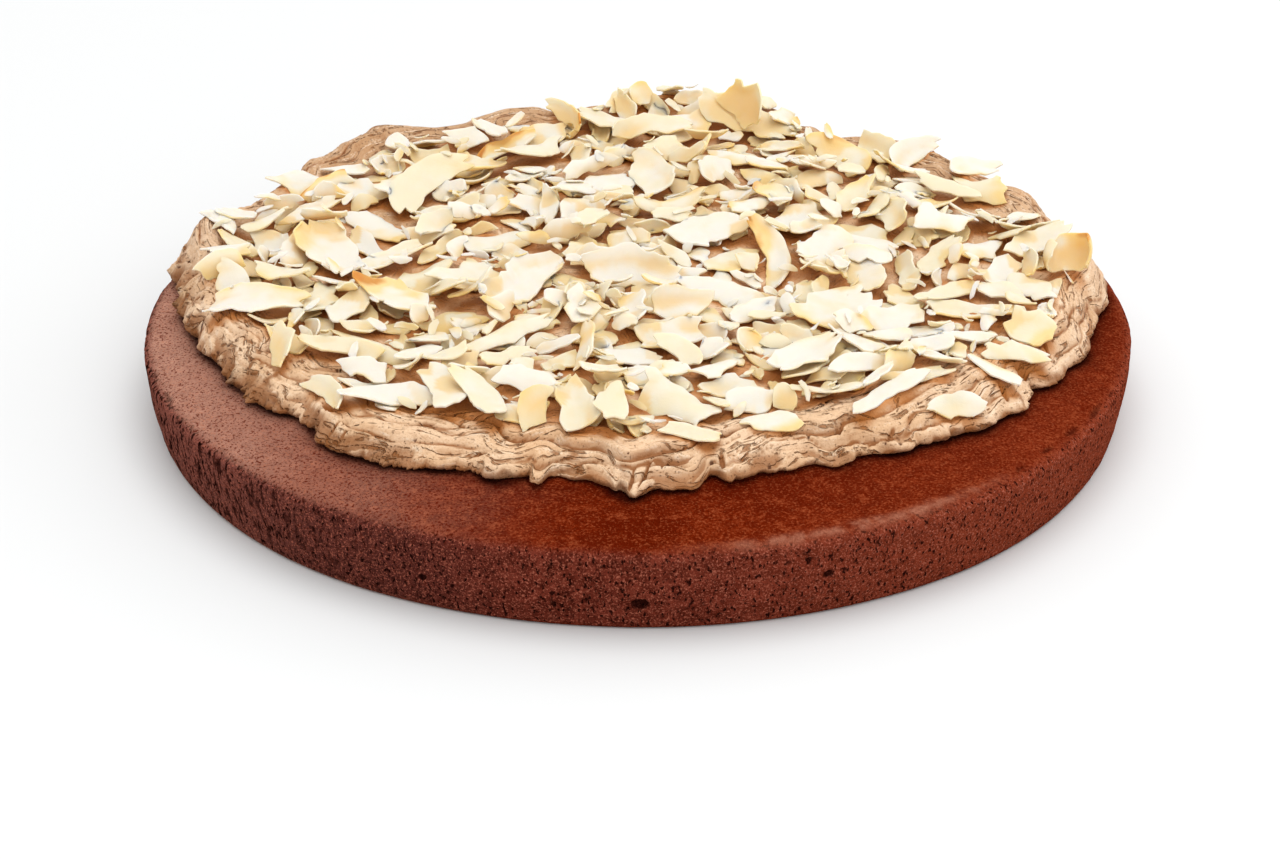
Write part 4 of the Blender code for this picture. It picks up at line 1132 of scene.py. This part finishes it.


# Settled chips as one mesh: each middle surface is given a thickness that thins to the rim. toast
# is how far a point is browned: most towards one tip and one side, in blotches; tone is the chip's
# own; nook is how far a point lies below the highest things around it, where painted warm shade goes.
def buildChips(name, batch, material, around):
    alongSteps, acrossSteps, ragged, seed = chips["made"][name]
    middle = chipSurface(batch, alongSteps, acrossSteps, ragged, seed)
    normal = np.cross(np.gradient(middle, axis=1), np.gradient(middle, axis=2))
    normal = normal / np.linalg.norm(normal, axis=-1, keepdims=True)
    along = np.linspace(-1, 1, alongSteps + 1)[None, :, None]
    across = np.linspace(-1, 1, acrossSteps + 1)[None, None, :]
    thick = chips["thickness"] * (0.6 + 0.4 * (1 - along**6) * (1 - across**6))
    thick = thick * np.minimum(1, np.array([chip["width"] for chip in batch])[:, None, None] / 3.0)
    half = normal * thick[..., None] / 2
    sides = np.stack([middle + half, middle - half], axis=1)
    poses = np.array([chip["pose"] for chip in batch])
    places = np.array([chip["place"] for chip in batch])
    points = np.einsum("nij,nsabj->nsabi", poses, sides) + places[:, None, None, None, :]
    each = points[0].size // 3
    faces = sheetFaces(alongSteps + 1, acrossSteps + 1)
    faces = (faces[None] + each * np.arange(len(batch))[:, None, None]).reshape(-1, 4)

    draw = np.random.default_rng(seed + 100)
    toasted = 0.6 * draw.uniform(0, 1, len(batch)) ** 3
    tip, side = draw.uniform(-1, 1, len(batch)), draw.uniform(-1, 1, len(batch))
    spots = np.array([(chip["x"], chip["y"]) for chip in batch])
    for x, y, much, whichTip, whichSide in chips["toasted"]:
        away = np.hypot(spots[:, 0] - x, spots[:, 1] - y)
        if away.min() < 1:
            found = away.argmin()
            toasted[found], tip[found], side[found] = much, whichTip, whichSide
    toasted, tip, side = (values[:, None, None] for values in (toasted, tip, side))
    tone = draw.uniform(0, 1, len(batch))
    number = np.arange(len(batch))[:, None, None] * 3.1 + seed
    at = np.stack(np.broadcast_arrays(middle[..., 0] / 5, middle[..., 1] / 5, number), axis=-1)
    blotch = layeredNoise(at, 2, 51)
    towards = across * side + along * tip + 0.5 * blotch
    toast = toasted * (0.1 + 0.75 * smooth(-0.4, 1.1, towards) + 0.5 * smooth(0.7, 1.25, towards))
    toast = toast + 0.14 * smooth(-0.2, 1.0, towards + 0.3 * blotch)
    outer = np.maximum(np.abs(across) ** 5, np.abs(along) ** 9)
    toast = toast + 0.35 * outer * smooth(-0.1, 0.7, noise(at * 0.6 + 7, 55))
    toast = np.broadcast_to(toast[:, None], (len(batch), 2, *toast.shape[1:]))
    points = points.reshape(-1, 3)
    nookShade = smooth(1.3, 4.0, readMap(around, points[:, 0], points[:, 1]) - points[:, 2])
    values = {"toast": toast.ravel(), "tone": np.repeat(tone, each), "nookShade": nookShade}
    piece = newPiece(name, points, faces, material, values)
    piece.data.set_sharp_from_angle(angle=math.radians(55))
    return piece


# Cream that browns to gold and then brown as the toast value grows, with painted warm shade in nooks.
def coconutFinish():
    s = Sheet("toastedCoconut", Specular_IOR_Level=0.3, Subsurface_Weight=0.8, Subsurface_Scale=0.0022)
    s.shader.inputs["Subsurface Radius"].default_value = (1.0, 0.84, 0.60)
    toast, tone = s.attribute("toast"), s.attribute("tone")
    fibre, blotch, wide = s.grain(0.8, 2, 0.6), s.grain(3.0, 3, 0.6), s.grain(8.0, 2, 0.5)
    creamy = s.between(tone * 0.6 + wide * 0.8, 0.5, 0.95)
    worn = toast + (blotch - 0.5) * 0.25 * toast ** 0.5
    colour = s.tinted(chips, chips["white"], (
        (creamy, "cream"),
        (s.between(worn, 0.10, 0.68), "gold"),
        (s.between(worn, 0.75, 1.35), "brown"),
        # painted warm shade in nooks
        (s.attribute("nookShade") * 0.62, "nookShade"),
    ))
    rough = 0.5 + (fibre - 0.5) * 0.2
    return s.finish(Base_Color=colour, Roughness=rough, Normal=s.bump(fibre, 0.12, 0.4))


# Studio
studio = {
    "floorSize": 6.0,
    "floorGap": 0.00005,  # keeps the floor just clear of the cake's foot
    "floorColour": (0.685, 0.69, 0.69),
    "skyStrength": 0.80,
    "keyStrength": 1.10,
    "keySpread": 56,  # degrees
    "keyPlace": (0.04, 0.04, 0.90),
    "sidePower": 0.3,
    "sideSize": 0.3,
    "sidePlace": (0.42, 0.22, 0.24),
    "frontPower": 1.6,
    "frontSize": 0.6,
    "frontPlace": (0.25, -0.85, 0.50),
    "cameraDistance": 0.78,
    "cameraHeight": 26.82,  # degrees above the horizon, seen from the middle of the cake's foot
    "cameraDip": 27.77,
    "cameraTurn": -0.025,
    "lens": 81.2,
}


# A lamp at a place, turned towards the cake.
def aimLamp(name, light, place):
    lamp = bpy.data.objects.new(name, light)
    lamp.location = place
    aim = np.array([0.0, 0.0, 0.02]) - np.array(place)
    flat = math.hypot(aim[0], aim[1])
    lamp.rotation_euler = (math.atan2(flat, -aim[2]), 0, math.atan2(-aim[0], aim[1]))
    bpy.context.scene.collection.objects.link(lamp)


# A square lamp, softer the larger it is.
def areaLight(name, place, size, power):
    light = bpy.data.lights.new(name, "AREA")
    light.energy, light.size = power, size
    aimLamp(name, light, place)


# A pale floor and sky, a wide high key lamp with two small soft ones, and the camera.
def buildStudio():
    half = studio["floorSize"] / 2
    corners = np.array([(-half, -half), (half, -half), (half, half), (-half, half)])
    points = np.column_stack([corners, np.full(4, -studio["floorGap"])]) / mm
    s = Sheet("paleFloor", Roughness=0.9, Specular_IOR_Level=0.1)
    s.shader.inputs["Base Color"].default_value = (*studio["floorColour"], 1)
    floor = newPiece("floor", points, np.array([[0, 1, 2, 3]]), s.material, {})
    world = bpy.data.worlds.new("paleStudio")
    world.use_nodes = True
    sky = world.node_tree.nodes["Background"]
    sky.inputs["Color"].default_value = (1, 1, 1, 1)
    sky.inputs["Strength"].default_value = studio["skyStrength"]
    scene = bpy.context.scene
    scene.world = world
    scene.view_settings.view_transform = "Standard"
    scene.view_settings.look = "Medium High Contrast"
    key = bpy.data.lights.new("keyLight", "SUN")
    key.energy, key.angle = studio["keyStrength"], math.radians(studio["keySpread"])
    aimLamp("keyLight", key, studio["keyPlace"])
    areaLight("sideLight", studio["sidePlace"], studio["sideSize"], studio["sidePower"])
    areaLight("frontLight", studio["frontPlace"], studio["frontSize"], studio["frontPower"])
    lens = bpy.data.cameras.new("camera")
    lens.lens, lens.sensor_width = studio["lens"], 36
    lens.clip_start, lens.clip_end = 0.01, 50
    camera = bpy.data.objects.new("camera", lens)
    up = math.radians(studio["cameraHeight"])
    camera.location = (0, -studio["cameraDistance"] * math.cos(up), studio["cameraDistance"] * math.sin(up))
    camera.rotation_euler = (math.radians(90 - studio["cameraDip"]), 0, math.radians(studio["cameraTurn"]))
    scene.collection.objects.link(camera)
    scene.camera = camera


buildStudio()
print("studio ready")

spongePiece = buildSponge(spongeFinish())
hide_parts("sponge")
print("sponge built")

mapReach = 130  # the height maps have a number for each millimetre
line = np.arange(-mapReach, mapReach + 1, dtype=float)
acrossMap, deepMap = np.meshgrid(line, line, indexing="ij")
bareHeights = frostingSurface(acrossMap, deepMap)
heights, low = bareHeights - chips["press"], bareHeights - chips["press"]
undersides = np.full(heights.shape, np.inf)
underTries = describeSmall(chips["under"])
firstTries, laterTries = underTries[: chips["firstTries"]], underTries[chips["firstTries"] :]
smallSteps = chips["smallSteps"]
smallChips = settleChips(firstTries, heights, smallSteps, chips["firstCovered"])
placedChips = settleChips(describePlaced(), heights, chips["placedSteps"], undersides=undersides)
ceiling = undersides + chips["overlap"]
smallChips += settleChips(laterTries, low, smallSteps, chips["underCovered"], ceiling)
heights = np.maximum(heights, low)
smallChips += settleChips(describeSmall(chips["small"]), heights, smallSteps, chips["smallCovered"])
slivers = settleChips(describeSmall(chips["slivers"]), heights, chips["sliverSteps"], chips["sliverCovered"])
print(f"chips settled: {len(placedChips)} placed, {len(smallChips)} small, {len(slivers)} slivers")


# The same map moved by every pair of steps in the two ranges.
def moved(values, alongX, alongY):
    return [np.roll(values, (x, y), axis=(0, 1)) for x in alongX for y in alongY]


covered = (heights > bareHeights + chips["clear"]).astype(float)
shadow = np.mean(moved(covered, range(-2, 3), range(-3, 2)), axis=0)  # reaches furthest in front of chips
creamPiece = buildFrosting(frostingFinish(), shadow)
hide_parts("frosting")
print("frosting built")

# the highest chips around each place, for the chips' painted shade in nooks
around = np.max(moved(heights, range(-2, 3), range(-2, 3)), axis=0)
coconut = coconutFinish()
pieces = [
    spongePiece,
    creamPiece,
    buildChips("largeChips", placedChips, coconut, around),
    buildChips("smallChips", smallChips, coconut, around),
    buildChips("slivers", slivers, coconut, around),
]
for piece in pieces:
    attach(piece, "root")
print("chips built")
